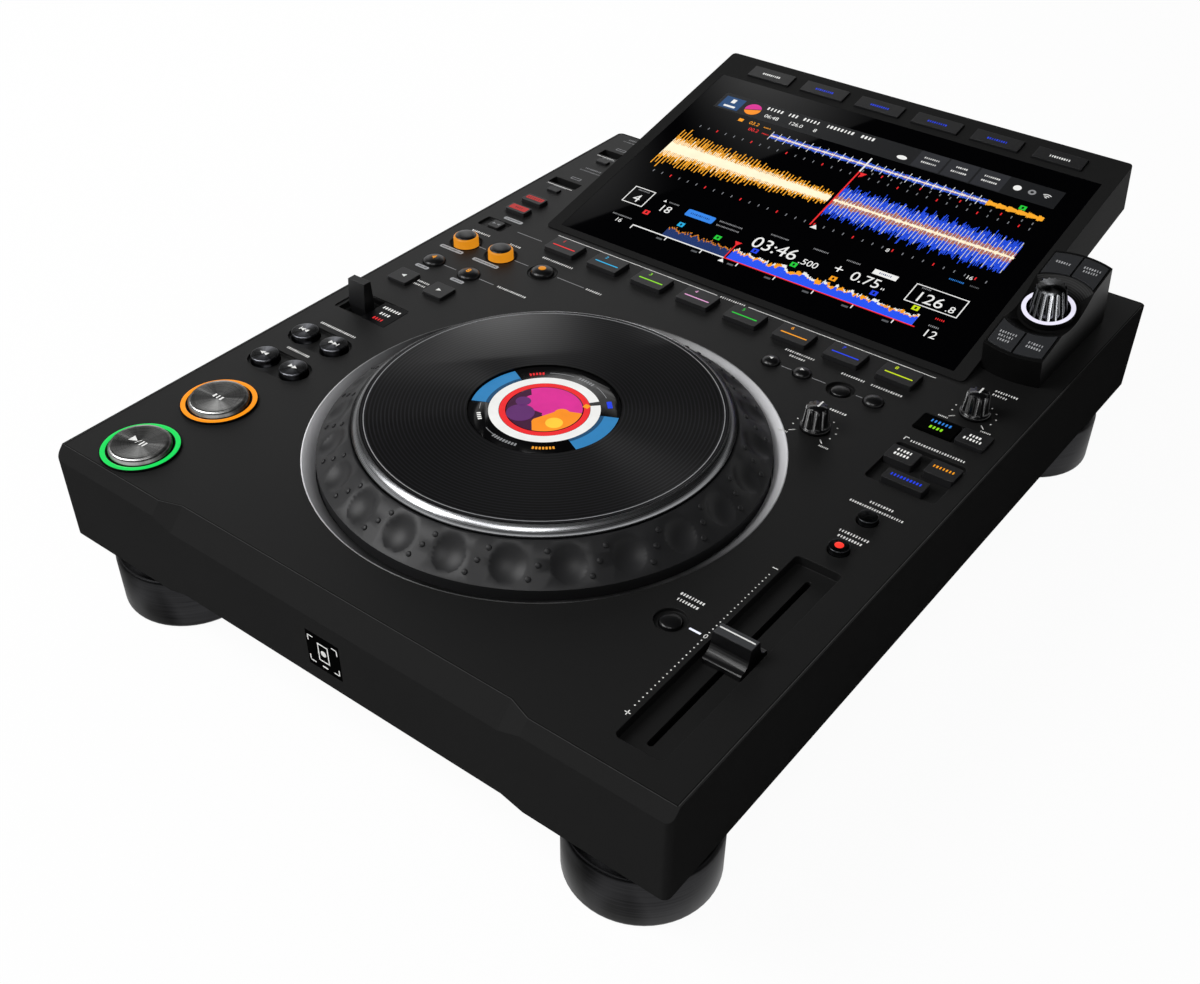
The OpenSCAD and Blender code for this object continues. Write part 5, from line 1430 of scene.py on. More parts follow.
        self.text("figure_word", Tone.GREY, [
            (-93.6, 49.2, 7.4, 1.4), (-72.2, 47.6, 6.4, 1.4), (-35.0, 46.8, 14.8, 1.5),
            (-35.0, 43.4, 14.0, 1.5), (-91.8, 26.2, 13.0, 1.4), (-6.6, 50.0, 11.0, 1.4),
            (17.8, 50.4, 9.0, 1.5), (37.0, 50.4, 8.0, 1.5), (78.6, 49.4, 5.4, 1.4), (94.6, 26.8, 5.6, 1.6)])
        self.text("figure_range_word", Tone.NAVY, [(55.8, 49.2, 7.0, 1.7)], 0.05)
        self.text("figure_red_word", Tone.RED, [(94.8, 32.6, 5.6, 1.7)])
        self.text("figure_percent", Tone.WHITE, [(59.8, 39.2, 2.2, 2.0)])
        self.text("figure_blue_word", Tone.SKY, [(88.3, 61.5, 8.4, 1.5)])
        self.text("figure_dim_word", Tone.DIM, [(98.0, 61.5, 5.4, 1.4)])
        shop.outlines("figure_arrow", Tone.WHITE.lit(0.9), "case", at,
                      [(-78.0, 47.6, [(-1.0, -0.8), (1.0, -0.8), (0.0, 1.0)])], 0.05)

    def overview(self) -> None:
        """The whole track at the bottom, with its cue points."""
        shop, at = self.shop, self.screen(0, 0)
        navy = lit_mark("overview_played", "#182f63")
        blue = lit_mark("wave_blue", "#2450e8")
        hills = {"sharp": 1.5, "beat": 400.0, "fall": 0.3, "rise": 1.0}
        self.bars("overview_played", navy, -63.0, 22.8, 95, 0.42, 0.43, 0.06, low=2.4, high=8.4, seed=4,
                  grain=0.09, **hills)
        self.bars("overview_played_edge", Tone.BROWN.lit(0.5), -63.0, 22.8, 95, 0.42, 0.43, 0.03, low=3.2,
                  high=9.4, seed=4, grain=0.09, **hills)
        self.bars("overview_peaks", Tone.WHITE.lit(0.95), -22.0, 23.0, 255, 0.42, 0.43, 0.03, low=2.8,
                  high=9.9, seed=9.4, grain=0.06, **hills)
        self.bars("overview_edge", Tone.ORANGE.lit(0.9), -22.0, 23.0, 255, 0.42, 0.43, 0.05, low=2.2,
                  high=9.2, seed=9.4, grain=0.065, **hills)
        self.bars("overview_body", blue, -22.0, 23.0, 255, 0.42, 0.43, 0.08, low=2.1, high=7.6, seed=9.4,
                  grain=0.06, **hills)
        shop.plates("overview_base_played", Tone.WHITE.lit(0.95), "case", at, [
            stroke(-82.0, 22.6, -23.6, 22.6, 0.7), stroke(-81.8, 22.6, -81.8, 19.6, 0.6)], 0.1, 0.05)
        shop.plates("overview_base", Tone.RED.lit(0.95), "case", at,
                    [stroke(-23.4, 22.6, 86.6, 22.6, 0.6), stroke(-23.4, 22.6, -23.4, 34.0, 0.6)], 0.12, 0.05)
        shop.outlines("overview_flag", Tone.RED.lit(1.0), "case", at,
                      [(-23.4, 35.2, [(-2.1, 1.5), (0.0, -1.8), (2.1, 1.5)])], 0.12)
        shop.outlines("overview_foot", Tone.WHITE.lit(0.95), "case", at,
                      [(-23.4, 20.4, [(-1.7, -1.2), (1.7, -1.2), (0.0, 1.4)])], 0.12)
        self.ticks("overview_minutes", Tone.WHITE.lit(0.9), -59.4, 21.0, 7, 22.5, (0.6, 2.6))
        self.ticks("overview_minute_words", Tone.DIM.lit(0.9), -62.6, 19.6, 7, 22.5, (3.6, 1.2))
        marks = ((-81.7, Tone.RED), (-58.8, Tone.CYAN), (-35.3, Tone.GREEN), (-12.1, Tone.BLUE),
                 (11.3, Tone.GREEN), (34.4, Tone.ORANGE), (57.6, Tone.BLUE), (80.7, Tone.YELLOW),
                 (90.8, Tone.GREEN))
        for number, (x, tone) in enumerate(marks):
            s = 34.7 if number < 8 else 127.6
            shop.plates(f"cue_flag_{number}", tone.lit(1.0), "case", at, [(x, s, 3.6, 3.4)], 0.06, 0.15)
            shop.plates(f"cue_flag_mark_{number}", GAP, "case", self.screen(0, 0, 0.06), [(x, s, 1.1, 1.7)],
                        0.02, 0.1)


@dataclass
class Selector(SubAssembly):
    """Browse selector right of the screen: pod, four keys, lit ring and spun knob."""

    at_x: float = 139.1
    at_s: float = 53.8
    key_top: float = 12.4
    ring_top: float = 10.22
    dish_slope: tuple[tuple[float, float], tuple[float, float]] = ((14.2, 6.93), (22.0, 11.85))

    def build(self) -> None:
        """Dresses the pod and prints its keys."""
        shop = self.shop
        middle = tuple(self.screen(self.at_x, self.at_s).translation)
        normal = tuple(shop.places.display_normal())
        shop.dress("selector_pod", MouldedAbs("satin_abs_pod", "#101010", 0.4, 0.4, 0.003, 0.4, 0.06))
        shop.hoop("selector_lit_ring", 10.2, 12.35, Lit("lit_ring_white", "#e6e3f4", 0.35, 1.0), "case",
                  self.screen(self.at_x, self.at_s, self.ring_top))
        shop.dress("selector_keys", MouldedAbs("grey_abs_key", "#2c2d2f", 0.42, 0.3, 0.006, 0.35, 0.25))
        self.dish(middle)
        shop.dress("selector_shaft", STEEL)
        # Painted highlight and shade wedges on the knob, along the direction given after the wedge count.
        shop.smooth("selector_knob",
                    SpunMetal("dark_chrome_knob", "#58595b", 0.22, middle, normal, 0.7, 0.5, 0.9, 2.2,
                              (0.78, 0.61, 0.13), 4.0, 0.5), 30.0)
        for number, (dx, ds, length, rows) in enumerate(((-7.0, 29.6, 7.4, 1), (7.0, 29.8, 8.4, 2),
                                                         (-7.0, -29.6, 8.4, 3), (7.0, -29.4, 8.0, 2))):
            for row in range(rows):
                s = self.at_s + ds + (rows - 1) * 1.3 - row * 2.6
                shop.legend(f"selector_key_mark_{number}_{row}", length - row * 0.8, 2.1,
                            Ink("ink_pale_grey", "#a9aaac", 0.6), "selector_keys",
                            self.screen(self.at_x + dx, s, self.key_top), seed=number * 3 + row)

    def dish(self, middle: tuple[float, float, float]) -> None:
        """The turned slopes of the dish in front of the knob and behind it."""
        # Painted sheen of grooves as light rings, as on the jog disc but without the clear coat.
        grooved = GroovedDisc("grooved_pod_dish", "#080808", 0.5, middle, 0.8, 7.0, 0.0)
        low, high = self.dish_slope
        for name, start in (("back", 50), ("front", 230)):
            rings = []
            for step in range(21):
                a = math.radians(start + 80 * step / 20)
                rings.append([(r * math.cos(a), r * math.sin(a), n + lift) for (r, n), lift in (
                    (low, -SINK), (high, -SINK), (high, 0.05), (low, 0.05))])
            Shape().loft(rings).piece(f"selector_dish_{name}", grooved, "case",
                                      self.screen(self.at_x, self.at_s), 60.0)


@dataclass
class Transport(SubAssembly):
    """Play, cue, search and track buttons, the direction lever and the two jump keys."""

    play: tuple[float, float] = (-134.5, 23.6)
    cue: tuple[float, float] = (-134.5, 68.0)
    search: tuple[float, float] = (-136.6, 106.6)
    track: tuple[float, float] = (-136.6, 132.7)
    pair: float = 19.4
    ring: tuple[float, float] = (15.0, 17.2)
    jumps: tuple[tuple[float, float], ...] = ((-146.5, 202.0), (-122.1, 201.9))
    top: float = 3.22
    small_top: float = 2.62
    label: tuple[float, float, float, float] = (-128.7, 169.4, 15.4, 18.2)

    def build(self) -> None:
        """Dresses the buttons and sets their glyphs and lit rings."""
        shop, white = self.shop, Tone.WHITE.printed()
        for name, spot, tone in (("play", self.play, lit_mark("ring_green", "#17d65a")),
                                 ("cue", self.cue, lit_mark("ring_amber", "#fb9312"))):
            # Painted highlight and shade wedges on the caps, along SpunMetal's default direction.
            metal = SpunMetal(f"spun_aluminium_{name}", "#8a8a89", 0.3, tuple(self.deck(*spot).translation),
                              (0, 0, 1), 0.9, 0.3, 0.7, 4.0)
            shop.smooth(f"{name}_button", metal, 35.0)
            r_in, r_out = self.ring
            profile = [(r_in, 0.9), (r_out, 0.9), (r_out, 1.12), (r_out - 0.5, 1.28), (r_in + 0.5, 1.28),
                       (r_in, 1.12)]
            Shape().lathe(profile, 96).piece(f"{name}_ring_light", tone, "case", self.deck(*spot))
        x, d = self.play
        top = self.top
        shop.outlines("play_glyph", white, "play_button", self.deck(x, d, top), [
            (-3.7, 0.3, arrow(3.9, 1)), (1.3, 0.3, rounded(0.9, 3.2, 0.1, 1)),
            (3.0, 0.3, rounded(0.9, 3.2, 0.1, 1))])
        shop.plates("play_glyph_slash", white, "play_button", self.deck(x, d, top), [
            stroke(-1.4, -1.3, -0.4, 1.9, 0.35)])
        shop.legend("cue_mark", 7.4, 3.6, white, "cue_button", self.deck(*self.cue, top), seed=4)
        for kind, spot, bar in (("search", self.search, False), ("track", self.track, True)):
            for side, way in (("back", -1), ("forward", 1)):
                at = (spot[0] + way * self.pair / 2, spot[1])
                node = f"{kind}_{side}_button"
                # Painted highlight and shade wedges on the caps, strong and narrow.
                dark = SpunMetal(f"spun_black_{kind}_{side}", "#55565a", 0.3,
                                 tuple(self.deck(*at).translation), lobe=5.0, wedges=0.93, stretch=0.9)
                shop.smooth(node, dark, 35.0)
                glyph = [(-1.1 * way - 0.2, 0, arrow(2.5, way)), (1.3 * way - 0.2, 0, arrow(2.5, way))]
                if bar:
                    glyph.append((2.9 * way, 0, rounded(0.55, 2.4, 0.1, 1)))
                shop.outlines(f"{node}_glyph", white, node, self.deck(*at, self.small_top), glyph)
        for node, spot, way in (("beat_jump_back_key", self.jumps[0], -1),
                                ("beat_jump_forward_key", self.jumps[1], 1)):
            shop.dress(node, KEY)
            shop.outlines(f"{node}_glyph", white, node, self.deck(*spot, 1.7), [(0, 0, arrow(2.6, way))])
        shop.dress("direction_lever", LEVER)
        x, d, wide, deep = self.label
        Shape().prism(rounded(wide, deep, 0.8), -0.1, 0.12, 0.06).piece(
            "lever_label", LABEL, "case", self.deck(x, d))
        for number, (dy, length, tone) in enumerate(((5.0, 11.6, Tone.WHITE), (0.0, 6.6, Tone.WHITE),
                                                     (-5.0, 6.6, Tone.RED))):
            shop.legend(f"lever_mark_{number}", length, 2.8, tone.lit(0.9), "case",
                        self.deck(x, d + dy, 0.12), seed=number + 5)


@dataclass
class Loops(SubAssembly):
    """Loop buttons, beat loop domes, loader, slip and memory stop keys on the left."""

    domes: tuple[tuple[float, float, str, str], ...] = ((-146.0, 224.4, "four", "4"),
                                                        (-122.2, 224.6, "eight", "8"))
    rings: tuple[tuple[float, float, str], ...] = ((-146.0, 249.6, "in"), (-122.1, 250.0, "out"))
    reloop: tuple[float, float] = (-93.9, 250.0)

    def build(self) -> None:
        """Dresses the buttons, caps the lit ones and prints their marks."""
        shop = self.shop
        amber = Lit("lit_amber_wall", "#e5901a", 0.35, 0.8, 3.0)
        for x, d, name, digit in self.domes:
            node = f"beat_loop_{name}_button"
            shop.smooth(node, DOME, 60.0)
            numerals(digit, 3.4, self.deck(x, d, 2.68), f"{node}_digit", Tone.ORANGE.lit(1.0), node)
        for x, d, name in self.rings:
            node = f"loop_{name}_button"
            shop.smooth(node, amber, 35.0)
            profile = [(0.0, 4.2), (5.7, 4.2), (5.7, 4.62), (5.3, 4.95), (4.0, 5.25), (2.2, 5.4), (0.0, 5.45)]
            Shape().lathe(profile, 48).piece(f"{node}_cap", DOME, node, self.deck(x, d), 60.0)
            shop.hoop(f"{node}_groove", 7.6, 8.4, GAP, "case", self.deck(x, d))
        x, d = self.reloop
        shop.smooth("reloop_button", DOME, 60.0)
        profile = [(0.0, 2.4), (2.0, 2.4), (2.0, 2.72), (1.4, 2.86), (0.0, 2.92)]
        Shape().lathe(profile, 32).piece("reloop_light", amber, "reloop_button", self.deck(x, d), 60.0)
        shop.hoop("reloop_groove", 7.6, 8.0, GAP, "case", self.deck(x, d))
        shop.dress("loader_key", KEY)
        shop.outlines("loader_glyph", Tone.GREY.printed(), "loader_key", self.deck(-147.0, 275.4, 0.4), [
            (-1.4, 0.0, arrow(2.0, 1)), (1.4, 0.0, arrow(2.0, -1))])
        shop.dress("slip_quantize_keys", KEY)
        shop.legend("slip_marks_quantize", 9.6, 2.4, lit_mark("deep_red", "#6e1413", 0.8),
                    "slip_quantize_keys", self.deck(-146.8, 308.6, 2.35), seed=6)
        red = Lit("lit_key_red", "#b92524", 0.4, 0.8, 3.0)
        shop.plates("slip_light", red, "slip_quantize_keys", self.deck(0, 0, 2.3),
                    [(-146.8, 294.6, 11.4, 4.8), (-146.8, 308.6, 11.4, 3.4)], 0.05, 0.6)
        shop.legend("slip_marks", 5.0, 2.2, lit_mark("deep_red", "#6e1413", 0.8), "slip_quantize_keys",
                    self.deck(-146.8, 294.6, 2.35), seed=7)
        shop.dress("usb_stop_keys", KEY)


@dataclass
class HotCues(SubAssembly):
    """Row of eight hot cue keys and the call, delete and memory buttons."""

    pitch: float = 28.3
    d: float = 275.8
    top: float = 2.6

    def build(self) -> None:
        """Dresses the keys and gives each its lit bar and digit."""
        shop = self.shop
        tones = (Tone.RED, Tone.CYAN, Tone.LIME, Tone.PINK, Tone.GREEN, Tone.ORANGE, Tone.BLUE, Tone.YELLOW)
        for number, tone in enumerate(tones):
            node, x = f"hot_cue_{number + 1}", (number - 3.5) * self.pitch
            shop.dress(node, KEY)
            shop.plates(f"{node}_bar", tone.lit(1.0), node, self.deck(x, self.d, self.top),
                        [(0.2, -1.6, 14.4, 0.8)], 0.06, 0.2)
            numerals(str(number + 1), 2.5, self.deck(x - 3.4, self.d + 3.6, self.top), f"{node}_digit",
                     tone.lit(1.0), node)
        for node in ("cue_call_buttons", "delete_button", "memory_button"):
            shop.smooth(node, DOME, 60.0)
        for number, (x, d, way) in enumerate(((44.5, 251.0, -1), (61.5, 251.2, 1))):
            shop.outlines(f"call_glyph_{number}", Tone.WHITE.printed(), "cue_call_buttons",
                          self.deck(x, d, 2.55), [(0, 0, arrow(1.9, way))])


@dataclass
class RightControls(SubAssembly):
    """Knobs, mode window and keys, sync keys and tempo buttons on the right."""

    knobs: tuple[tuple[str, float, float], ...] = (("jog_adjust_knob", 88.6, 217.6),
                                                   ("speed_adjust_knob", 139.6, 271.0))
    knob_top: float = 11.4
    sweep: float = 135.0

    def build(self) -> None:
        """Dresses each control and prints what stands on and round it."""
        shop = self.shop
        for node, x, d in self.knobs:
            self.knob(node, x, d)
        shop.dress("jog_mode_key", KEY)
        for node in ("beat_sync_key", "key_sync_key", "master_key"):
            shop.dress(node, KEY)
        for name, x, d, length, tone, seed in (("blue", 131.6, 254.3, 10.0, Tone.SKY, 2),
                                               ("green", 131.4, 249.5, 7.6, Tone.LIME, 3)):
            shop.legend(f"mode_mark_{name}", length, 2.9, tone.lit(1.0), "case", self.deck(x, d, 0.6), seed)
        for number, (node, x, d, z, length, tone) in enumerate(
                (("jog_mode_key", 148.4, 253.4, 1.2, 5.6, Tone.WHITE),
                 ("jog_mode_key", 148.4, 250.4, 1.2, 8.8, Tone.WHITE),
                 ("beat_sync_key", 129.2, 224.6, 1.3, 7.6, Tone.WHITE),
                 ("beat_sync_key", 129.2, 221.4, 1.3, 7.8, Tone.WHITE),
                 ("master_key", 148.4, 223.4, 1.3, 10.0, Tone.ORANGE),
                 ("key_sync_key", 139.0, 207.4, 1.3, 14.6, Tone.BLUE))):
            shop.legend(f"right_key_mark_{number}", length, 2.5, tone.lit(0.9), node, self.deck(x, d, z),
                        seed=number + 11)
        for node, (x, d) in (("tempo_range_button", (139.1, 174.4)), ("master_tempo_button", (139.2, 151.0))):
            # Painted highlight and shade wedges on the caps, along SpunMetal's default direction.
            metal = SpunMetal(f"spun_black_{node}", "#2c2d2f", 0.22, tuple(self.deck(x, d).translation),
                              (0, 0, 1), 0.9, 0.3, 0.7, 3.0)
            shop.smooth(node, metal, 35.0)
        profile = [(0.0, 2.3), (1.9, 2.3), (1.9, 2.68), (1.3, 2.84), (0.0, 2.9)]
        Shape().lathe(profile, 32).piece("master_tempo_light", Lit("lit_dot_red", "#ff3b30", 0.3, 1.0, 2.0),
                                         "master_tempo_button", self.deck(139.2, 151.0), 60.0)
        shop.smooth("tempo_reset_button", DOME, 60.0)

    def knob(self, node: str, x: float, d: float) -> None:
        """One fluted knob with its pointer and the scale round it."""
        shop, white = self.shop, Tone.WHITE.printed()
        shop.smooth(node, KNOB, 35.0)
        shop.plates(f"{node}_pointer", white, node, self.deck(x, d, self.knob_top), [(0.0, 2.5, 0.8, 4.6)],
                    0.06, 0.2)
        place, step = self.deck(x, d), math.radians(2 * self.sweep / 10)
        start = math.radians(90 - self.sweep)
        shop.ring.make(Shape().lathe([(0.0, -SINK), (0.4, -SINK), (0.4, 0.05), (0.0, 0.05)], 10),
                       f"{node}_dots", white, "case", place,
                       {"Count": 11, "Radius": 9.9, "Start": start, "Step": step})
        ends = [math.radians(90 + side * self.sweep) for side in (-1, 1)]
        shop.plates(f"{node}_ends", white, "case", place, [
            stroke(9.0 * math.cos(a), 9.0 * math.sin(a), 12.0 * math.cos(a), 12.0 * math.sin(a), 0.45)
            for a in ends])
        for number, a in enumerate(ends):
            spot = self.deck(x + 14.6 * math.cos(a), d + 14.6 * math.sin(a))
            shop.legend(f"{node}_end_mark_{number}", 5.0, 1.4, white, "case", spot, seed=number + 2)


@dataclass
class Fader(SubAssembly):
    """Tempo fader: trough, slot, cap and the scale beside it."""

    x: float = 138.1
    d: float = 77.8
    cap_top: float = 7.0
    ridge: tuple[float, float] = (16.6, 5.5)
    scale_x: float = 125.3
    zero: float = 77.2
    dots: tuple[int, float] = (18, 2.45)

    def build(self) -> None:
        """Dresses the fader and prints its scale."""
        shop, white = self.shop, Tone.WHITE.printed()
        shop.dress("fader_unit", GAP)
        shop.smooth("tempo_slider", PolishedAbs("satin_abs_slider", "#0b0b0c", 0.3, level=0.4), 26.0,
                    even=True)
        wide, deep = self.ridge
        shop.plates("slider_ridge", MouldedAbs("grey_abs_ridge", "#3c3d3f", 0.32, 0.4, 0.003, 0.3, 0.6),
                    "tempo_slider", self.deck(self.x, self.d, self.cap_top), [(0.0, 0.0, wide, deep)], 0.04,
                    0.2)
        shop.plates("slider_line", white, "tempo_slider", self.deck(self.x, self.d, self.cap_top),
                    [(0.0, 0.9, 15.6, 0.7)], 0.07, 0.1)
        count, step = self.dots
        for name, start in (("low", self.zero - 2.6 - (count - 1) * step), ("high", self.zero + 2.6)):
            shop.row.make(Shape().lathe([(0.0, -SINK), (0.33, -SINK), (0.33, 0.04), (0.0, 0.04)], 8),
                          f"fader_dots_{name}", white, "case", self.deck(self.scale_x, start),
                          {"Count": count, "Step": (0.0, step, 0.0), "Seed": 1})
        shop.plates("fader_signs", white, "case", self.deck(0, 0), [
            (self.scale_x, 126.0, 2.6, 0.42), (self.scale_x, 28.6, 2.6, 0.42),
            (self.scale_x, 28.6, 0.42, 2.6)])
        shop.plates("fader_zero_bar", lit_mark("zero_bar", "#e9ecff"), "case", self.deck(0, 0), [
            (120.6, self.zero, 5.2, 1.0)])
        numerals("0", 2.4, self.deck(self.scale_x, self.zero), "fader_zero", white, "case")


@dataclass
class Rear(SubAssembly):
    """Sockets at the back and the power button."""

    inlet_x: float = -90.0
    inlet_d: float = 300.0
    ring_d: float = 290.0

    def build(self) -> None:
        """Dresses the sockets and the button."""
        self.shop.dress("power_button", KEY)
        self.split("connectors", (
            ("mains_inlet_shell", WINDOW, self.in_inlet),
            ("metal_sockets", PlainMetal("socket_metal", "#6d6e70", 0.4), lambda p: not self.in_inlet(p)),
        ))
        self.guides()

    def in_inlet(self, middle: Vector) -> bool:
        """Whether a loose part of the sockets is the mains inlet, which stands far left at the back."""
        return middle.x < self.inlet_x * MM and middle.y > self.shop.places.front + self.inlet_d * MM

    def split(self, node: str, parts: Iterable[tuple[str, Finish, Callable[[Vector], bool]]]) -> None:
        """Gives the loose parts of one solid finishes of their own.

        Args:
            node: the solid's name in the frame.
            parts: for each new piece its name, finish and the test that a loose part's middle must meet.
        """
        for name, finish, keep in parts:
            piece = Shape().copy_of(self.shop.nodes[node], keep).piece(
                name, finish, self.shop.bodies[node], outward=False)
            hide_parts(node)

    def guides(self) -> None:
        """The four clear parts: mode window, rings under play and cue, ring round the selector."""
        edge = self.shop.places.front + self.ring_d * MM
        self.split("light_guides", (
            ("mode_window", WINDOW, lambda p: p.x > 0 and p.y < edge),
            ("ring_light_base", GAP, lambda p: p.x < 0),
            ("selector_ring_light", GAP, lambda p: p.x > 0 and p.y > edge),
        ))


# ---- Studio ------------------------------------------------------------


@dataclass
class Studio:
    """Pale floor, soft lamps and the camera."""

    picture: tuple[int, int] = (1200, 984)
    eye: tuple[float, float, float] = (324.5, -491.7, 451.1)
    turn: tuple[float, float, float] = (50.05, 37.81, 0.129)
    focal: float = 1424.95
    axis: tuple[float, float] = (584.65, 538.28)
    floor_glow: float = 0.96
    room_light: float = 0.12

    def build(self) -> None:
        """Sets up everything round the object."""
        scene = bpy.context.scene
        scene.view_settings.view_transform = "Standard"
        self.floor()
        self.world(scene)
        self.lamps()
        self.camera(scene)

    def seen(self, tree: Tree) -> Socket:
        """One where a ray comes from the eye, or by way of gloss or glass."""
        path = add_node(tree, "ShaderNodeLightPath")
        first = add_node(tree, "ShaderNodeMath", {"operation": "MAXIMUM"}, {
            0: path.outputs["Is Camera Ray"], 1: path.outputs["Is Glossy Ray"]})
        return add_node(tree, "ShaderNodeMath", {"operation": "MAXIMUM"}, {
            0: first.outputs[0], 1: path.outputs["Is Transmission Ray"]}).outputs[0]

    def floor(self) -> None:
        """A wide pale floor that shows almost white and still takes a soft shadow."""
        mesh = bpy.data.meshes.new("floor")
        mesh.from_pydata([(-9, -9, 0), (9, -9, 0), (9, 9, 0), (-9, 9, 0)], [], [(0, 1, 2, 3)])
        thing = bpy.data.objects.new("floor", mesh)
        bpy.context.scene.collection.objects.link(thing)
        material = bpy.data.materials.new("pale_paper_floor")
        material.use_nodes = True
        tree = material.node_tree
        tree.nodes.clear()
        dull = add_node(tree, "ShaderNodeBsdfDiffuse", inputs={"Color": (0.8, 0.8, 0.8, 1.0)})
        bright = add_node(tree, "ShaderNodeEmission", inputs={"Color": WHITE, "Strength": 1.0})
        shown = add_node(tree, "ShaderNodeMath", {"operation": "MULTIPLY"}, {
            0: self.seen(tree), 1: self.floor_glow})
        mixed = add_node(tree, "ShaderNodeMixShader", inputs={
            0: shown.outputs[0], 1: dull.outputs[0], 2: bright.outputs[0]})
        add_node(tree, "ShaderNodeOutputMaterial", inputs={"Surface": mixed.outputs[0]})
        mesh.materials.append(material)

    def world(self, scene: bpy.types.Scene) -> None:
        """A dim room: pale to the eye, and for gloss pale only near the horizon and dark overhead."""
        world = bpy.data.worlds.new("studio")
        scene.world = world
        world.use_nodes = True
        tree = world.node_tree
        tree.nodes.clear()
        way = add_node(tree, "ShaderNodeTexCoord").outputs["Generated"]
        height = add_node(tree, "ShaderNodeSeparateXYZ", inputs={0: way}).outputs["Z"]
        fade = add_node(tree, "ShaderNodeMapRange", {"interpolation_type": "SMOOTHSTEP"}, {
            "Value": height, "From Min": 0.12, "From Max": 0.4, "To Min": 1.0, "To Max": 0.015})
        eye = add_node(tree, "ShaderNodeLightPath").outputs["Is Camera Ray"]
        pale = add_node(tree, "ShaderNodeMath", {"operation": "MAXIMUM"}, {0: fade.outputs[0], 1: eye})
        room = add_node(tree, "ShaderNodeBackground", inputs={"Color": WHITE, "Strength": pale.outputs[0]})
        dim = add_node(tree, "ShaderNodeBackground", inputs={"Color": WHITE, "Strength": self.room_light})
        mixed = add_node(tree, "ShaderNodeMixShader", inputs={
            0: self.seen(tree), 1: dim.outputs[0], 2: room.outputs[0]})
        add_node(tree, "ShaderNodeOutputWorld", inputs={"Surface": mixed.outputs[0]})

    def lamp(self, name: str, at: tuple[float, float, float], to: tuple[float, float, float],
             size: tuple[float, float], power: float) -> None:
        """A soft rectangular lamp.

        Args:
            name: its name.
            at: where it hangs, in metres.
            to: the point it faces.
            size: its width and height, in metres.
            power: its power in watts.
        """
        data = bpy.data.lights.new(name, "AREA")
        data.shape = "RECTANGLE"
        data.size, data.size_y = size
        data.energy = power
        thing = bpy.data.objects.new(name, data)
        turn = (Vector(to) - Vector(at)).to_track_quat("-Z", "Y").to_matrix().to_4x4()
        thing.matrix_world = Matrix.Translation(at) @ turn
        thing.visible_camera = False
        bpy.context.scene.collection.objects.link(thing)

    def lamps(self) -> None:
        """Key from the front left, a weak fill and the low panel whose edge shows in the gloss."""
        self.lamp("key_softbox", (-0.8, -0.8, 1.15), (0.0, 0.0, 0.05), (0.8, 0.8), 20.0)
        self.lamp("fill_softbox", (0.3, -0.9, 1.5), (0.0, 0.0, 0.05), (0.6, 0.6), 7.0)
        self.panel()

    def panel(self) -> None:
        """A level panel low behind the left side: dark at its near edge, brighter outwards, one dim gap."""
        out, near, deep, wide, height = Vector((-0.73, 0.68)).normalized(), 0.412, 0.8, 1.0, 0.383
        middle = out * (near + deep / 2)
        lamp = bpy.data.lights.new("sheen_panel", "AREA")
        lamp.shape = "RECTANGLE"
        lamp.size, lamp.size_y = deep, wide
        lamp.energy = math.pi * deep * wide
        lamp.use_nodes = True
        tree = lamp.node_tree
        tree.nodes.clear()
        spot = add_node(tree, "ShaderNodeNewGeometry").outputs["Position"]
        away = add_node(tree, "ShaderNodeVectorMath", {"operation": "DOT_PRODUCT"}, {
            0: spot, 1: (out.x, out.y, 0.0)})
        aside = add_node(tree, "ShaderNodeVectorMath", {"operation": "DOT_PRODUCT"}, {
            0: spot, 1: (out.y, -out.x, 0.0)})
        rise = add_node(tree, "ShaderNodeMapRange", inputs={
            "Value": away.outputs["Value"], "From Min": near, "From Max": 0.5, "To Min": 0.5, "To Max": 1.7})
        period, shift = 0.185, 0.045
        turn = add_node(tree, "ShaderNodeMath", {"operation": "MULTIPLY_ADD"}, {
            0: aside.outputs["Value"], 1: math.pi / period, 2: math.pi * shift / period})
        swing = add_node(tree, "ShaderNodeMath", {"operation": "COSINE"}, {0: turn.outputs[0]})
        lobes = add_node(tree, "ShaderNodeMath", {"operation": "POWER"}, {0: swing.outputs[0], 1: 2.0})
        glow = add_node(tree, "ShaderNodeMath", {"operation": "MULTIPLY"}, {
            0: rise.outputs[0], 1: lobes.outputs[0]})
        light = add_node(tree, "ShaderNodeEmission", inputs={"Color": WHITE, "Strength": glow.outputs[0]})
        add_node(tree, "ShaderNodeOutputLight", inputs={"Surface": light.outputs[0]})
        thing = bpy.data.objects.new("sheen_panel", lamp)
        thing.matrix_world = Matrix.Translation((middle.x, middle.y, height)) @ Matrix.Rotation(
            math.atan2(out.y, out.x), 4, "Z")
        thing.visible_camera = False
        bpy.context.scene.collection.objects.link(thing)

    def camera(self, scene: bpy.types.Scene) -> None:
        """A camera by its focal length and axis in picture points."""
        wide, high = self.picture
        data = bpy.data.cameras.new("eye")
        data.sensor_fit = "HORIZONTAL"
        data.sensor_width = 36.0
        data.lens = self.focal * 36.0 / wide
        data.shift_x = (wide / 2 - self.axis[0]) / wide
        data.shift_y = (self.axis[1] - high / 2) / wide
        data.clip_start, data.clip_end = 0.01, 50.0
        thing = bpy.data.objects.new("eye", data)
        tilt, heading, roll = (math.radians(a) for a in self.turn)
        thing.matrix_world = (Matrix.Translation(Vector(self.eye) * MM) @ Matrix.Rotation(heading, 4, "Z")
                              @ Matrix.Rotation(tilt, 4, "X") @ Matrix.Rotation(roll, 4, "Z"))
        scene.collection.objects.link(thing)
        scene.camera = thing


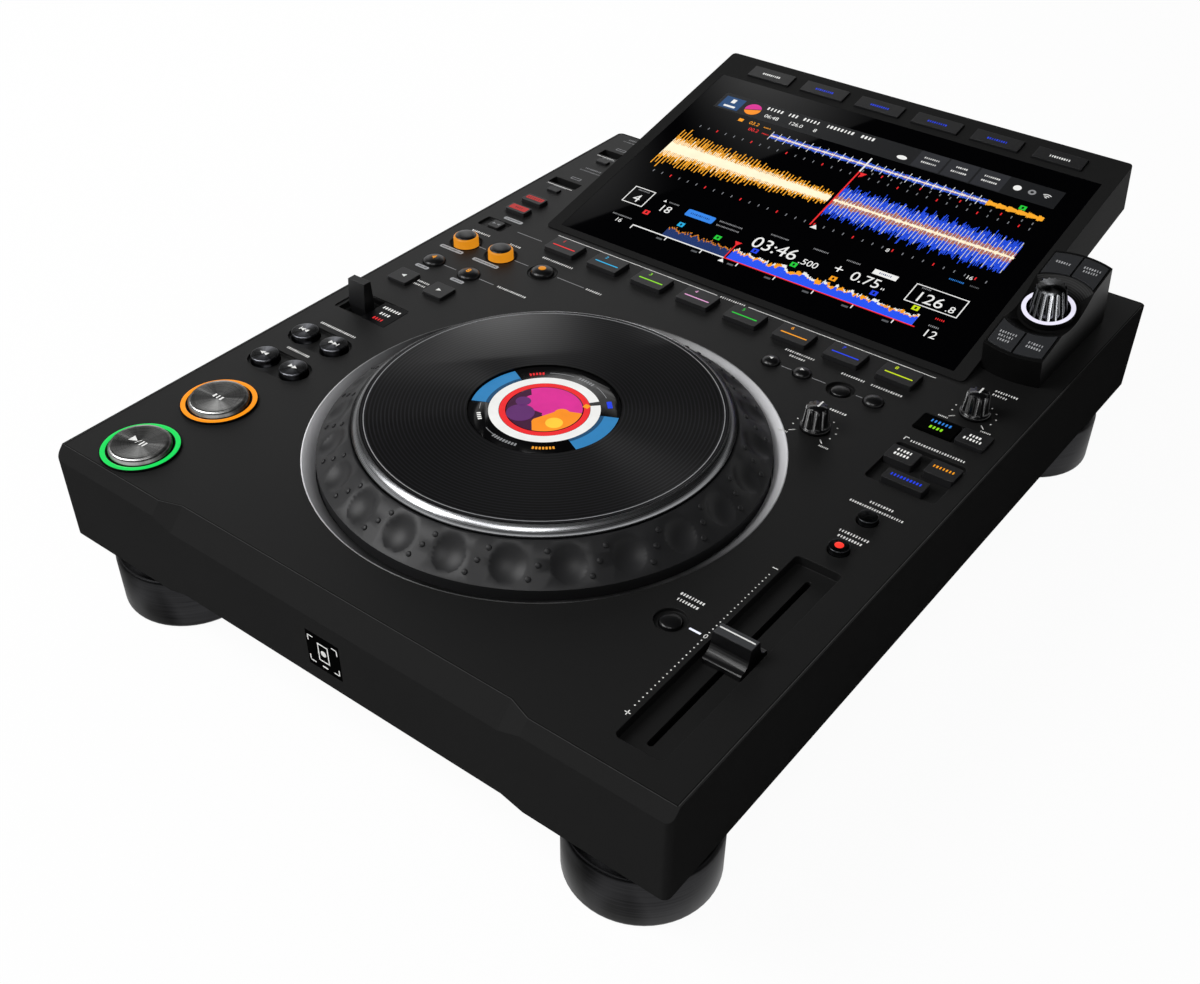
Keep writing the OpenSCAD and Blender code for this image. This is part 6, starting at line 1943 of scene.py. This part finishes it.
def main() -> None:
    """Loads the frame, builds every sub-assembly and sets up the studio."""
    logging.basicConfig(level=logging.INFO, format="%(message)s")
    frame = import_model()
    bodies = {node: body for body, nodes in frame["record"]["behaviour"]["bodies"].items() for node in nodes}
    shop = Workshop(Places(Slope()), frame["nodes"], bodies, Row(), Ring(), Wave())
    for part in (Case(shop), DeckPrint(shop), Jog(shop), Display(shop), Selector(shop), Transport(shop),
                 Loops(shop), HotCues(shop), RightControls(shop), Fader(shop), Rear(shop)):
        part.build()
        log.info("built %s", type(part).__name__)
    Studio().build()


if __name__ == "__main__":
    main()
